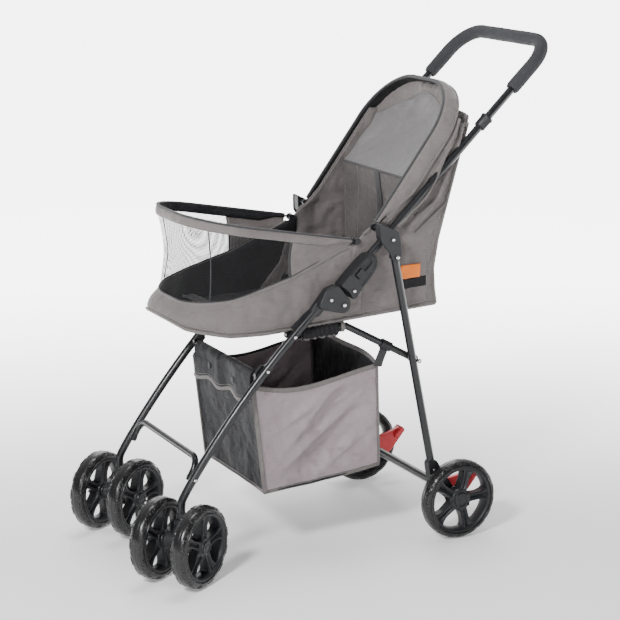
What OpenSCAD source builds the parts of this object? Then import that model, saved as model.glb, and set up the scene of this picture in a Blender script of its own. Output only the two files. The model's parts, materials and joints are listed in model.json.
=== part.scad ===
// Folding four-wheel pet stroller. +Z is up, -Y is the front, +X is the stroller's left side.
// The origin is on the ground, under the middle of the outer box. All sizes are millimetres.

/* [Wheels] */
// Radius of the front tyres
front_wheel_r = 76; // [70:1:78]
// Radius of the rear tyres
rear_wheel_r = 77.3; // [72:0.1:78]
// Width of every tyre
tyre_w = 32; // [26:1:32]
// Distance between the middles of the twin front wheels
twin_gap = 89; // [86:1:92]
// How far the caster axle stands ahead of its swivel
caster_lead = 9; // [6:1:16]
// Swivel of the left caster, as it stands
left_swivel = 32; // [0:0.1:40]
// Swivel of the right caster, as it stands
right_swivel = 29.5; // [0:0.1:40]

/* [Frame] */
// Half the distance between the planes of the front legs and the handle tubes
leg_x = 148; // [146:1:150]
// Half the distance between the rear legs
rear_leg_x = 165; // [164:0.5:167]
// Half the distance between the rear wheels' middles
rear_wheel_x = 191; // [190:1:196]
// Outer radius of the frame tubes
tube_r = 7.5; // [6.5:0.1:7.5]
// Wall thickness of the frame tubes
tube_wall = 1.2; // [0.8:0.1:1.5]
// Radius of the foam grip
foam_r = 13; // [11:0.5:14]

/* [Fabric] */
// Half the outer width of the cabin
cabin_half = 132; // [126:1:132]
// Half the outer width of the basket
basket_half = 133; // [124:1:134]
// Thickness of the fabric walls in this model
cloth = 3; // [2:0.5:4]

/* [Hidden] */
$fn = 48;

steel = "#24252a";
plastic = "#34363b";
taupe = "#8b8580";
black = "#1e1e20";
silver = "#c8c8c8";
red = "#c8202a";

run_gap = 0.05;    // radial clearance of a pin that turns
pin_r = 3;         // radius of the pivot pins
rivet_r = 2.4;     // radius of the rivets' shanks
rivet_head = 4.2;  // radius of the rivets' heads
bore_r = tube_r - tube_wall;

// The front legs: a long bow from the latch down to a short upright foot
leg_top = [-36, 498];
leg_low_z = 118;
bow_r = 1700;
bow_high = 41;
bow_low = 56.6;
foot_r = 8;

// A point on the bow, where its slope is s degrees: [y, z]
function bow_dir(s) = [-sin(s), cos(s)];
bow_middle = leg_top - bow_r * bow_dir(bow_high);
function on_bow(s) = bow_middle + bow_r * bow_dir(s);
foot_top = on_bow(bow_low);
foot_h = foot_top[1] - leg_low_z;

// Points of the frame seen from the side: [y, z]
low_rivet = on_bow(55.1);
bar_rivet = on_bow(47.2);
link_pivot = on_bow(44.5);
leg_rivet = on_bow(41.35);
fold_pivot = [-17, 479];
housing_rivet = [4, 503];
rear_pivot = [88, 559];
plate_rivet = [78, 593];
link_end = [139, 355];
link_bend = [5, 430];
rear_leg_low = [177, 122];
hood_pivot = [60, 612];
visor_pivot = [25, 588];
axle = [217, rear_wheel_r];
cross_axle = [205, 92];

// The handle's straight tubes
handle_angle = 43.4;
handle_at = [-20, 501.5];
handle_start = 16;
foam_start = 497;
handle_end = 626;
handle_bend_r = 58;

// The casters
stem_r = 6;
stem_top = 143;
cone_top = 112;
collar_top = 117.5;
axle_pin_r = 4;
rear_rod_r = 3.5;

// A point on the handle's axis, s along it and t above it: [y, z]
function on_handle(s, t) = [
  handle_at[0] + s * cos(handle_angle) - t * sin(handle_angle),
  handle_at[1] + s * sin(handle_angle) + t * cos(handle_angle)
];
function at_x(x, p) = [x, p[0], p[1]];

// ---- Helpers ----

// A straight round bar between two points
module bar(a, b, r) {
  d = b - a;
  l = norm(d);
  translate(a)
    rotate([0, acos(d[2] / l), atan2(d[1], d[0])])
      cylinder(h = l, r = r);
}

// A round bar through a list of points, with round corners
module route(points, r) {
  for (i = [0 : len(points) - 2]) {
    bar(points[i], points[i + 1], r);
  }
  if (len(points) > 2) {
    for (i = [1 : len(points) - 2]) {
      translate(points[i]) sphere(r = r + 0.15);
    }
  }
}

// A tube through a list of points
module pipe(points, r, wall) {
  difference() {
    route(points, r);
    route(points, r - wall);
  }
}

// An outline drawn as [y, z], made solid from x0 to x1
module slab(x0, x1) {
  translate([x0, 0, 0])
    rotate([90, 0, 90])
      linear_extrude(height = x1 - x0)
        children();
}

// A round bar along X
module cross_pin(p, x0, x1, r) {
  translate([x0, p[0], p[1]])
    rotate([0, 90, 0])
      cylinder(h = x1 - x0, r = r);
}

// A rivet along X with a head on its outer end and one on its inner end
module rivet(p, x0, x1) {
  cross_pin(p, x0, x1, rivet_r);
  cross_pin(p, x1, x1 + 1.6, rivet_head);
  cross_pin(p, x0 - 1.2, x0, rivet_head);
}

// The same shape on the left, or mirrored to the right
module right_side() {
  mirror([1, 0, 0]) children();
}
module both_sides() {
  children();
  mirror([1, 0, 0]) children();
}

// A disc outline at [y, z]
module dot(p, r) {
  translate(p) circle(r = r);
}

// A round-cornered U, from s = 0 up to s = top, drawn in its own plane
module arch_outline(half, top, corner) {
  translate([-half, 0]) square([2 * half, top - corner]);
  translate([-half + corner, top - corner - 1]) square([2 * (half - corner), corner + 1]);
  for (x = [-1, 1]) {
    translate([x * (half - corner), top - corner]) circle(r = corner);
  }
}

// A wire bent to that U: two straight sides, two quarter turns and a straight top
module arch_wire(half, top, corner, r, start) {
  for (x = [-1, 1]) {
    translate([x * half, start, 0])
      rotate([-90, 0, 0])
        cylinder(h = top - corner - start, r = r);
    translate([x * (half - corner), top - corner, 0])
      rotate([0, 0, x > 0 ? 0 : 90])
        rotate_extrude(angle = 90, $fn = 96)
          translate([corner, 0]) circle(r = r);
  }
  translate([-(half - corner), top, 0])
    rotate([0, 90, 0])
      cylinder(h = 2 * (half - corner), r = r);
}

// Puts a shape drawn in a U's plane at its pivot, tilted up from the -Y or +Y direction
module in_plane(p, angle) {
  translate([0, p[0], p[1]])
    rotate([angle, 0, 0])
      children();
}

// ---- Front frame ----

// A profile swept along a front leg's bow
module leg_bow() {
  translate(at_x(leg_x, bow_middle))
    rotate([90, 0, 90])
      rotate([0, 0, bow_high + 90])
        rotate_extrude(angle = bow_low - bow_high, $fn = 720)
          translate([bow_r, 0]) children();
}

module tube_profile() {
  difference() {
    circle(r = tube_r);
    circle(r = bore_r);
  }
}

module front_leg() {
  color(steel) {
    leg_bow() tube_profile();
    translate([leg_x, foot_top[0], leg_low_z])
      difference() {
        union() {
          cylinder(h = foot_h, r = foot_r);
          translate([0, 0, foot_h]) sphere(r = foot_r + 0.2);
        }
        translate([0, 0, -1]) cylinder(h = foot_h - 4, r = bore_r);
      }
  }
}

module upper_crossbar() {
  inner = leg_x - tube_r - 1.4;
  color(steel) {
    pipe([[-inner + 7, -178, 358], [inner - 7, -178, 358]], 6, 1.1);
    both_sides() {
      slab(inner - 7, inner)
        polygon([[-185, 352], [-172, 352], [-161, 366], [-162, 377], [-173, 378], [-185, 364]]);
    }
  }
}

module lower_crossbar() {
  half = leg_x - tube_r - 7.6;
  color(steel)
    in_plane(low_rivet, 62)
      difference() {
        arch_wire(half, 36, 24, 6, -6);
        arch_wire(half, 36, 24, 4.9, -7);
      }
}

module latch_base() {
  color(plastic) {
    difference() {
      union() {
        slab(151, 166)
          hull() {
            dot([-34, 504], 17);
            dot(fold_pivot, 15);
            dot([-62, 474], 10);
          }
        slab(139.2, 151)
          hull() {
            dot(leg_top, 12);
            dot([-66, 469.4], 11);
          }
      }
      leg_bow() circle(r = tube_r);
      cross_pin(fold_pivot, 150, 170, pin_r);
      cross_pin(leg_rivet, 130, 170, rivet_r);
    }
  }
}

module frame_rivets() {
  color(silver)
    both_sides() {
      rivet(leg_rivet, 139.2, 166);
      rivet(bar_rivet, leg_x - tube_r - 8.5, leg_x + tube_r);
      rivet(low_rivet, leg_x - tube_r - 13, leg_x + tube_r);
    }
}

module fold_pins() {
  color(silver)
    both_sides() {
      cross_pin(fold_pivot, 141.5, 166, pin_r);
      cross_pin(fold_pivot, 166, 167.8, 5);
      cross_pin(fold_pivot, 140, 141.5, 4.6);
    }
}

module link_pins() {
  color(silver)
    both_sides() {
      cross_pin(link_pivot, 123, leg_x + tube_r, pin_r);
      cross_pin(link_pivot, leg_x + tube_r, leg_x + tube_r + 1.6, rivet_head);
      cross_pin(link_pivot, 121.5, 123, 4.6);
    }
}

module visor_pins() {
  color(plastic)
    both_sides() {
      cross_pin(visor_pivot, cabin_half - cloth - 1.5, 139.2, pin_r);
      cross_pin(visor_pivot, 139.2, 141, 5.5);
      cross_pin(visor_pivot, cabin_half - cloth - 3, cabin_half - cloth, 6);
    }
}

// ---- Cabin ----

tub_side = [[-318, 462], [-300, 448], [-230, 437.5], [-161, 434.5], [-100, 437.5], [-7, 443],
  [109, 448], [192, 452], [199, 500], [41, 500], [41, 600], [23, 598], [-106, 533],
  [-224, 500], [-296, 490]];
tub_hollow = [[-309, 466], [-294, 452], [-230, 441], [-161, 438], [-100, 441], [-7, 446.5],
  [109, 451.5], [188, 455.5], [196, 520], [60, 520], [60, 700], [-400, 700], [-400, 560]];

// The cabin seen from above, with a rounded nose
module cabin_plan(half, front, back, corner) {
  translate([-half, front + corner]) square([2 * half, back - front - corner]);
  translate([-half + corner, front]) square([2 * (half - corner), corner + 1]);
  for (x = [-1, 1]) {
    translate([x * (half - corner), front + corner]) circle(r = corner, $fn = 96);
  }
}

module cabin_tub() {
  color(taupe)
    difference() {
      intersection() {
        slab(-cabin_half, cabin_half) polygon(tub_side);
        linear_extrude(height = 900) cabin_plan(cabin_half, -318, 300, 105);
      }
      intersection() {
        slab(-cabin_half + cloth, cabin_half - cloth) polygon(tub_hollow);
        linear_extrude(height = 900)
          cabin_plan(cabin_half - cloth, -318 + 12, 188.5, 95);
      }
      cross_pin(visor_pivot, -cabin_half - 1, cabin_half + 1, pin_r);
    }
}

module floor_board() {
  color("#6b5a45")
    slab(-cabin_half + 6, cabin_half - 6)
      polygon([[-196, 441.2], [-161, 440.2], [-100, 441.8], [-7, 447.3], [109, 452.3],
        [184, 456.3], [184, 460], [109, 456], [-7, 451], [-100, 445.5], [-161, 444],
        [-196, 445]]);
}

module floor_mat() {
  color(black)
    slab(-cabin_half + 8, cabin_half - 8)
      polygon([[-194, 445.6], [-161, 444.6], [-100, 446.1], [-7, 451.6], [109, 456.6],
        [182, 460.6], [182, 472], [109, 469], [-7, 464], [-100, 458], [-161, 456],
        [-194, 456]]);
}

back_side = [[42, 501], [191, 501], [199, 576], [220, 641], [240, 714], [262, 788],
  [248, 775], [62, 599], [42, 599]];
back_hollow = [[30, 490], [187.5, 490], [195.5, 577], [216.5, 642], [236.5, 715],
  [263, 802], [200, 900], [30, 900]];

module cabin_back() {
  color(taupe)
    difference() {
      slab(-cabin_half, cabin_half) polygon(back_side);
      slab(-cabin_half + cloth, cabin_half - cloth) polygon(back_hollow);
    }
}

// ---- Hood and visor ----

hood_angle = 53;
hood_top = 308;
hood_half = 136.5;
hood_corner = 105;
visor_angle = 169;
visor_top = 321;
visor_half = 136.5;
visor_corner = 110;
wire_r = 2;
eyelet_w = 4.6;

module hoop(p, angle, half, top, corner) {
  in_plane(p, angle) {
    arch_wire(half, top, corner, wire_r, 5);
    for (x = [-1, 1]) {
      translate([x * half - eyelet_w / 2, 0, 0])
        rotate([0, 90, 0])
          difference() {
            cylinder(h = eyelet_w, r = 6.5);
            translate([0, 0, -1]) cylinder(h = eyelet_w + 2, r = pin_r + run_gap);
          }
    }
  }
}

module hood_hoop() {
  color(black) hoop(hood_pivot, hood_angle, hood_half, hood_top, hood_corner);
}

module visor_hoop() {
  color(black) hoop(visor_pivot, visor_angle, visor_half, visor_top, visor_corner);
}

hood_side = [[72, 616], [242, 843], [270, 818], [264.5, 793], [250, 779], [74, 611.5]];
hood_hollow = [[40, 585], [240, 853], [264.5, 815], [260, 792], [250, 782], [74, 560]];

module hood_fabric() {
  color(taupe)
    intersection() {
      slab(-150, 150) polygon(hood_side);
      difference() {
        in_plane(hood_pivot, hood_angle)
          translate([0, 0, -120])
            linear_extrude(height = 118)
              arch_outline(134, 305, 102);
        intersection() {
          slab(-150, 150) polygon(hood_hollow);
          in_plane(hood_pivot, hood_angle)
            translate([0, -40, -130])
              linear_extrude(height = 140)
                arch_outline(134 - cloth, 305 - cloth + 40, 100);
        }
      }
    }
}

mesh_side = [[-4, 589.5], [-292, 646], [-292, 494.5], [-224, 504], [-106, 537], [-4, 588]];

module visor_mesh() {
  color("#3c3c3e")
    difference() {
      intersection() {
        slab(-133, 133) polygon(mesh_side);
        linear_extrude(height = 900) cabin_plan(133, -289, 300, 106);
      }
      linear_extrude(height = 900) cabin_plan(131, -287, 301, 104);
    }
}

// ---- Basket ----

basket_side = [[-188, 337], [-166, 131], [78, 149], [73, 346], [20, 328], [-60, 324],
  [-130, 330]];
basket_hollow = [[-188, 360], [-184.5, 330], [-163, 134.5], [75, 152], [69.5, 344], [69, 360]];

module basket() {
  color(taupe)
    difference() {
      slab(-basket_half, basket_half) polygon(basket_side);
      slab(-basket_half + cloth, basket_half - cloth) polygon(basket_hollow);
    }
}

// ---- Casters ----

module caster_place(x, swivel) {
  translate([x, foot_top[0], 0])
    rotate([0, 0, swivel])
      children();
}

module caster_body() {
  color(plastic)
    difference() {
      union() {
        translate([0, 0, front_wheel_r]) cylinder(h = cone_top - front_wheel_r, r1 = 19, r2 = 12.5);
        translate([-twin_gap / 2 + tyre_w / 2 + 4, -caster_lead, front_wheel_r])
          rotate([0, 90, 0])
            cylinder(h = twin_gap - tyre_w - 8, r = 19);
        translate([0, 0, 100]) cylinder(h = collar_top - 100, r = 10);
        translate([0, 0, 100]) cylinder(h = stem_top - 100, r = stem_r);
      }
      translate([-50, -caster_lead, front_wheel_r])
        rotate([0, 90, 0])
          cylinder(h = 100, r = axle_pin_r);
    }
}

module caster_axle() {
  color(silver)
    translate([0, -caster_lead, front_wheel_r])
      rotate([0, 90, 0])
        translate([0, 0, -twin_gap / 2 - 11])
          cylinder(h = twin_gap + 22, r = axle_pin_r);
}

// The plastic wheel: hub, five spokes and a rim round the X axis
module rim(rim_r, hub_r, pin, width) {
  rotate([0, 90, 0])
    difference() {
      union() {
        difference() {
          translate([0, 0, -width / 2]) cylinder(h = width, r = rim_r, $fn = 96);
          translate([0, 0, -width / 2 - 1]) cylinder(h = width + 2, r = rim_r - 6, $fn = 96);
        }
        translate([0, 0, -width / 2 + 2]) cylinder(h = width - 4, r = hub_r);
        for (i = [0 : 4]) {
          rotate([0, 0, 72 * i])
            translate([0, 0, -width / 2 + 5])
              linear_extrude(height = width - 10)
                polygon([[hub_r - 4, -7], [rim_r - 3, -10], [rim_r - 3, 10], [hub_r - 4, 7]]);
        }
      }
      translate([0, 0, -width]) cylinder(h = 2 * width, r = pin + run_gap);
    }
}

// The tyre's outline has rounded shoulders
module tyre(outer, inner) {
  shoulder = 9;
  rotate([0, 90, 0])
    rotate_extrude($fn = 96) {
      translate([inner, -tyre_w / 2 + 2]) square([outer - inner - shoulder, tyre_w - 4]);
      translate([inner + 2, -tyre_w / 2 + shoulder])
        square([outer - inner - 2, tyre_w - 2 * shoulder]);
      for (z = [-1, 1]) {
        translate([outer - shoulder, z * (tyre_w / 2 - shoulder)])
          circle(r = shoulder);
      }
    }
}

front_rim_r = 62;
rear_rim_r = 65;

module front_wheel_place(side) {
  translate([side * twin_gap / 2, -caster_lead, front_wheel_r]) children();
}
module front_rim(side) {
  color(plastic)
    front_wheel_place(side) rim(front_rim_r, 17, axle_pin_r, tyre_w - 6);
}
module front_tyre(side) {
  color(black)
    front_wheel_place(side) tyre(front_wheel_r, front_rim_r);
}

// ---- Handle ----

module handle_path(r, s0, s1) {
  translate([0, handle_at[0], handle_at[1]])
    rotate([handle_angle, 0, 0])
      arch_wire(leg_x, s1, handle_bend_r, r, s0);
}

module handle_tube() {
  color(steel)
    difference() {
      handle_path(tube_r, handle_start, handle_end);
      handle_path(bore_r, handle_start - 1, handle_end);
    }
}

module foam_grip() {
  color("#3a3b3f")
    difference() {
      handle_path(foam_r, foam_start, handle_end);
      handle_path(tube_r, foam_start - 1, handle_end);
    }
}

module handle_collars() {
  color(plastic)
    translate([0, handle_at[0], handle_at[1]])
      rotate([handle_angle, 0, 0])
        for (x = [-leg_x, leg_x]) {
          translate([x, 409, 0])
            rotate([-90, 0, 0])
              difference() {
                cylinder(h = 24, r = 11);
                translate([0, 0, -1]) cylinder(h = 26, r = tube_r);
              }
        }
}

plate_outline = [[52, 626], [90, 607], [95, 580], [94, 559], [84, 552], [76, 562], [53, 592]];

module side_plate() {
  inner = leg_x + tube_r + 0.2;
  outer = rear_leg_x + tube_r + 0.6;
  color(plastic)
    difference() {
      union() {
        slab(outer, outer + 4)
          union() {
            polygon(plate_outline);
            dot(rear_pivot, 10);
          }
        slab(inner, outer)
          polygon([[52, 626], [90, 607], [94, 584], [70, 584], [53, 594]]);
      }
      cross_pin(rear_pivot, inner - 1, outer + 5, pin_r);
      cross_pin(plate_rivet, inner - 1, outer + 5, rivet_r);
      cross_pin(hood_pivot, 120, outer + 5, pin_r);
    }
}

housing_points = [[14, -24], [80, -24], [88, -20], [92, -12], [92, 2], [88, 10], [80, 12], [14, 12]];

module housing_outline() {
  polygon([for (p = housing_points) on_handle(p[0], p[1])]);
}

module latch_housing() {
  color(plastic)
    difference() {
      union() {
        slab(139.2, 166) housing_outline();
        slab(143, 150.4) {
          dot(fold_pivot, 12);
          polygon([fold_pivot + [-10, 5], on_handle(19, -9), on_handle(34, -21),
            fold_pivot + [10, -5]]);
        }
      }
      bar(at_x(leg_x, on_handle(handle_start, 0)), at_x(leg_x, on_handle(120, 0)), tube_r);
      cross_pin(fold_pivot, 130, 170, pin_r + run_gap);
      cross_pin(housing_rivet, 130, 170, rivet_r);
      translate([162, on_handle(38, -6)[0], on_handle(38, -6)[1]])
        rotate([handle_angle, 0, 0])
          cube([10, 42, 12]);
    }
}

module latch_slider() {
  color(black) {
    translate([162.3, on_handle(40, -5.7)[0], on_handle(40, -5.7)[1]])
      rotate([handle_angle, 0, 0])
        cube([4.2, 18, 11.4]);
    translate([166.4, on_handle(38, -8)[0], on_handle(38, -8)[1]])
      rotate([handle_angle, 0, 0])
        cube([3.4, 20, 16]);
  }
}

module handle_pins() {
  outer = rear_leg_x + tube_r + 4.6;
  color(silver)
    both_sides() {
      cross_pin(rear_pivot, 157.6, outer, pin_r);
      cross_pin(rear_pivot, outer, outer + 1.6, 5);
      rivet(plate_rivet, leg_x - tube_r, outer);
      rivet(housing_rivet, 139.2, 166);
      cross_pin(hood_pivot, cabin_half + 2, outer - 4, pin_r);
      cross_pin(hood_pivot, cabin_half, cabin_half + 2, 5);
    }
}

// ---- Rear frame ----

module rear_leg() {
  color(steel)
    difference() {
      union() {
        pipe([at_x(rear_leg_x, rear_pivot), at_x(rear_leg_x, rear_leg_low)],
          tube_r, tube_wall);
        cross_pin(rear_pivot, rear_leg_x - tube_r, rear_leg_x + tube_r, tube_r);
      }
      cross_pin(rear_pivot, 150, 180, pin_r + run_gap);
    }
}

module axle_bracket() {
  color(plastic)
    difference() {
      slab(rear_leg_x - 9, rear_leg_x + 9)
        hull() {
          dot([172, 146], 10);
          dot([178, 118], 11);
          dot([203, 90], 12);
          dot([214, 79], 11);
        }
      bar(at_x(rear_leg_x, rear_pivot), at_x(rear_leg_x, rear_leg_low), tube_r);
      cross_pin(axle, 150, 180, rear_rod_r);
      cross_pin(cross_axle, 150, rear_leg_x, tube_r);
    }
}

module axle_tube() {
  color(steel)
    pipe([at_x(-rear_leg_x, cross_axle), at_x(rear_leg_x, cross_axle)], tube_r, tube_wall);
}

module axle_rod() {
  color(silver)
    cross_pin(axle, -rear_wheel_x - 12, rear_wheel_x + 12, rear_rod_r);
}

module rear_rivets() {
  color(silver)
    both_sides() {
      rivet([174, 136], rear_leg_x - 9, rear_leg_x + 7.7);
      cross_pin(link_end, rear_leg_x - tube_r, rear_leg_x + tube_r, rivet_r);
      cross_pin(link_end, rear_leg_x + tube_r, rear_leg_x + tube_r + 1.6, rivet_head);
      cross_pin(link_end, rear_leg_x - tube_r - 1.5, rear_leg_x - tube_r, 5);
    }
}

module rear_rim() {
  color(plastic)
    translate(at_x(rear_wheel_x, axle)) rim(rear_rim_r, 19, rear_rod_r, tyre_w - 6);
}
module rear_tyre() {
  color(black)
    translate(at_x(rear_wheel_x, axle)) tyre(rear_wheel_r, rear_rim_r);
}

module brake_pedal() {
  color(red)
    difference() {
      union() {
        cross_pin(cross_axle, 138, 154, 11.5);
        slab(140, 152)
          polygon([[206, 88], [224, 88], [232, 72], [256, 66], [268, 78], [290, 105], [291, 113],
            [283, 120], [250, 108], [206, 103]]);
        slab(134, 158)
          polygon([[270, 96], [282, 103], [291, 113], [284, 121], [266, 106]]);
      }
      cross_pin(cross_axle, 130, 160, tube_r + run_gap);
    }
}

// ---- Links under the floor ----

link_r = 6.4;
link_front = [130.5, link_pivot[0], link_pivot[1]];
link_middle = [130.5, link_bend[0], link_bend[1]];
link_rear = [148, link_end[0], link_end[1]];

module floor_link() {
  color(steel)
    difference() {
      union() {
        route([link_front, link_middle, link_rear], link_r);
        cross_pin(link_pivot, 124.5, 136.5, 8);
        cross_pin(link_end, 142.2, 154.6, 8);
      }
      cross_pin(link_pivot, 110, 140, pin_r + run_gap);
      cross_pin(link_end, 135, 160, rivet_r);
    }
}

module link_sleeve() {
  a = link_middle + 0.52 * (link_rear - link_middle);
  b = link_middle + 0.66 * (link_rear - link_middle);
  color(plastic)
    difference() {
      bar(a, b, 9);
      bar(link_middle, link_rear, link_r);
    }
}

// ---- What is drawn ----

front_leg();  // front_leg_left
right_side() front_leg();  // front_leg_right
upper_crossbar();
lower_crossbar();
latch_base();  // latch_base_left
right_side() latch_base();  // latch_base_right
frame_rivets();
fold_pins();
link_pins();
cabin_tub();
floor_board();
floor_mat();
basket();
visor_pins();
caster_place(leg_x, left_swivel) caster_body();  // caster_left
caster_place(-leg_x, right_swivel) caster_body();  // caster_right
caster_place(leg_x, left_swivel) caster_axle();  // caster_axle_left
caster_place(-leg_x, right_swivel) caster_axle();  // caster_axle_right
caster_place(leg_x, left_swivel) front_rim(1);  // front_rim_left_outer
caster_place(leg_x, left_swivel) front_rim(-1);  // front_rim_left_inner
caster_place(-leg_x, right_swivel) front_rim(-1);  // front_rim_right_outer
caster_place(-leg_x, right_swivel) front_rim(1);  // front_rim_right_inner
caster_place(leg_x, left_swivel) front_tyre(1);  // front_tyre_left_outer
caster_place(leg_x, left_swivel) front_tyre(-1);  // front_tyre_left_inner
caster_place(-leg_x, right_swivel) front_tyre(-1);  // front_tyre_right_outer
caster_place(-leg_x, right_swivel) front_tyre(1);  // front_tyre_right_inner
handle_tube();
foam_grip();
handle_collars();
side_plate();  // side_plate_left
right_side() side_plate();  // side_plate_right
latch_housing();  // latch_housing_left
right_side() latch_housing();  // latch_housing_right
handle_pins();
cabin_back();
latch_slider();  // latch_slider_left
right_side() latch_slider();  // latch_slider_right
hood_hoop();
hood_fabric();
visor_hoop();
visor_mesh();
rear_leg();  // rear_leg_left
right_side() rear_leg();  // rear_leg_right
axle_tube();
axle_rod();
axle_bracket();  // axle_bracket_left
right_side() axle_bracket();  // axle_bracket_right
rear_rivets();
rear_rim();  // rear_rim_left
right_side() rear_rim();  // rear_rim_right
rear_tyre();  // rear_tyre_left
right_side() rear_tyre();  // rear_tyre_right
brake_pedal();  // brake_pedal_left
right_side() brake_pedal();  // brake_pedal_right
floor_link();  // floor_link_left
right_side() floor_link();  // floor_link_right
link_sleeve();  // link_sleeve_left
right_side() link_sleeve();  // link_sleeve_right
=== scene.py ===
import json
import math

import bpy
import numpy as np
from mathutils import Matrix, Vector, noise


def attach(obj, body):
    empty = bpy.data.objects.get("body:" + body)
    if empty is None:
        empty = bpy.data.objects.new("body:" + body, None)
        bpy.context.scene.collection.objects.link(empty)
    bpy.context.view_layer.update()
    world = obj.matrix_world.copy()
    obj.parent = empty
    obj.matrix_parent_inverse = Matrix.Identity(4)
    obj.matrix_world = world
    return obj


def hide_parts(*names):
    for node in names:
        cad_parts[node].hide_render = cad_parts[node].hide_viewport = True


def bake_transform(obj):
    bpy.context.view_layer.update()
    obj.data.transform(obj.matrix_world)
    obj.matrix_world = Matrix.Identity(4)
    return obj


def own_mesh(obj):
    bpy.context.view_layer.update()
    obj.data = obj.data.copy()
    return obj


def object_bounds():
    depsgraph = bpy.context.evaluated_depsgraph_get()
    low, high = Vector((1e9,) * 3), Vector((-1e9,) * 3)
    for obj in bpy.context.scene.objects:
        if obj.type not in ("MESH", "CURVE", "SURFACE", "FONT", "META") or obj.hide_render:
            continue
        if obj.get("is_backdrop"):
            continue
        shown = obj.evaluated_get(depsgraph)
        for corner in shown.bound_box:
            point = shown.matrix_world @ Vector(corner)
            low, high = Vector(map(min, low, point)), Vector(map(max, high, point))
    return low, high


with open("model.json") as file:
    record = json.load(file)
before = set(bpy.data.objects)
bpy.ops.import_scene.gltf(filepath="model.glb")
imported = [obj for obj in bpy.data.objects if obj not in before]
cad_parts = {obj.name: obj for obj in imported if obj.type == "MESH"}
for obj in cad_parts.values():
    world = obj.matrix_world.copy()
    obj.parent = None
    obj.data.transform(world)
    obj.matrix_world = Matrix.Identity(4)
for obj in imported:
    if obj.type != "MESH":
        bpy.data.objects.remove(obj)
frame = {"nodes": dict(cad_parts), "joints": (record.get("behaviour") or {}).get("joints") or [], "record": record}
low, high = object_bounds()
NODES = frame["nodes"]
JOINTS = {j["name"]: j for j in frame["joints"]}
scene = bpy.context.scene
PI = math.pi

# ---------------------------------------------------------------- materials


def new_mat(name):
    m = bpy.data.materials.new(name)
    m.use_nodes = True
    nt = m.node_tree
    for n in list(nt.nodes):
        nt.nodes.remove(n)
    out = nt.nodes.new("ShaderNodeOutputMaterial")
    bs = nt.nodes.new("ShaderNodeBsdfPrincipled")
    nt.links.new(bs.outputs[0], out.inputs[0])
    return m, nt, bs, out


def node(nt, kind, **kw):
    n = nt.nodes.new(kind)
    for k, v in kw.items():
        setattr(n, k, v)
    return n


def math_node(nt, op, a, b=None, c=None):
    n = node(nt, "ShaderNodeMath", operation=op)
    for i, v in enumerate((a, b, c)):
        if v is None:
            continue
        if hasattr(v, "links") or hasattr(v, "is_output"):
            nt.links.new(v, n.inputs[i])
        else:
            n.inputs[i].default_value = v
    return n.outputs[0]


def noise_tex(nt, vec, scale, detail=4.0, rough=0.55):
    n = node(nt, "ShaderNodeTexNoise")
    n.inputs["Scale"].default_value = scale
    n.inputs["Detail"].default_value = detail
    n.inputs["Roughness"].default_value = rough
    nt.links.new(vec, n.inputs["Vector"])
    return n.outputs["Fac"]


def ramp(nt, fac, stops):
    r = node(nt, "ShaderNodeValToRGB")
    while len(r.color_ramp.elements) < len(stops):
        r.color_ramp.elements.new(0.5)
    for e, (p, c) in zip(r.color_ramp.elements, stops):
        e.position = p
        e.color = (c[0], c[1], c[2], 1)
    nt.links.new(fac, r.inputs[0])
    return r.outputs[0]


def bump(nt, height, strength, dist, normal=None):
    b = node(nt, "ShaderNodeBump")
    b.inputs["Strength"].default_value = strength
    b.inputs["Distance"].default_value = dist
    nt.links.new(height, b.inputs["Height"])
    if normal is not None:
        nt.links.new(normal, b.inputs["Normal"])
    return b.outputs[0]


def mapped(nt, vec, scale, turn=(0, 0, 0)):
    m = node(nt, "ShaderNodeMapping")
    m.inputs["Rotation"].default_value = turn
    m.inputs["Scale"].default_value = scale
    nt.links.new(vec, m.inputs[0])
    return m.outputs[0]


def coords(nt):
    """The texture coordinates, and the UV map's axes, which are in metres."""
    tc = node(nt, "ShaderNodeTexCoord")
    sep = node(nt, "ShaderNodeSeparateXYZ")
    nt.links.new(tc.outputs["UV"], sep.inputs[0])
    return tc, sep


def tone(c, k):
    return tuple(min(1.0, x * k) for x in c)


def hard(name, color, rough, metal=0.0, grain=900, depth=0.0002, spread=0.12, coat=0.0):
    """Moulded plastic, paint, metal or rubber: fine grain, slight mottling and scuffs."""
    m, nt, bs, out = new_mat(name)
    co = node(nt, "ShaderNodeTexCoord").outputs["Object"]
    fine = noise_tex(nt, co, grain, 3)
    broad = noise_tex(nt, co, 22, 5)
    nt.links.new(
        ramp(nt, broad, [(0.3, tone(color, 1 - spread)), (0.7, tone(color, 1 + spread))]),
        bs.inputs["Base Color"],
    )
    scuff = noise_tex(nt, co, 90, 6, 0.7)
    r = math_node(nt, "MULTIPLY_ADD", scuff, 0.22, rough - 0.11)
    nt.links.new(r, bs.inputs["Roughness"])
    bs.inputs["Metallic"].default_value = metal
    bs.inputs["Specular IOR Level"].default_value = 0.5 if max(color) > 0.1 else 0.34
    if coat:
        bs.inputs["Coat Weight"].default_value = coat
        bs.inputs["Coat Roughness"].default_value = 0.25
    nt.links.new(bump(nt, fine, 0.5, depth), bs.inputs["Normal"])
    return m


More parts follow.
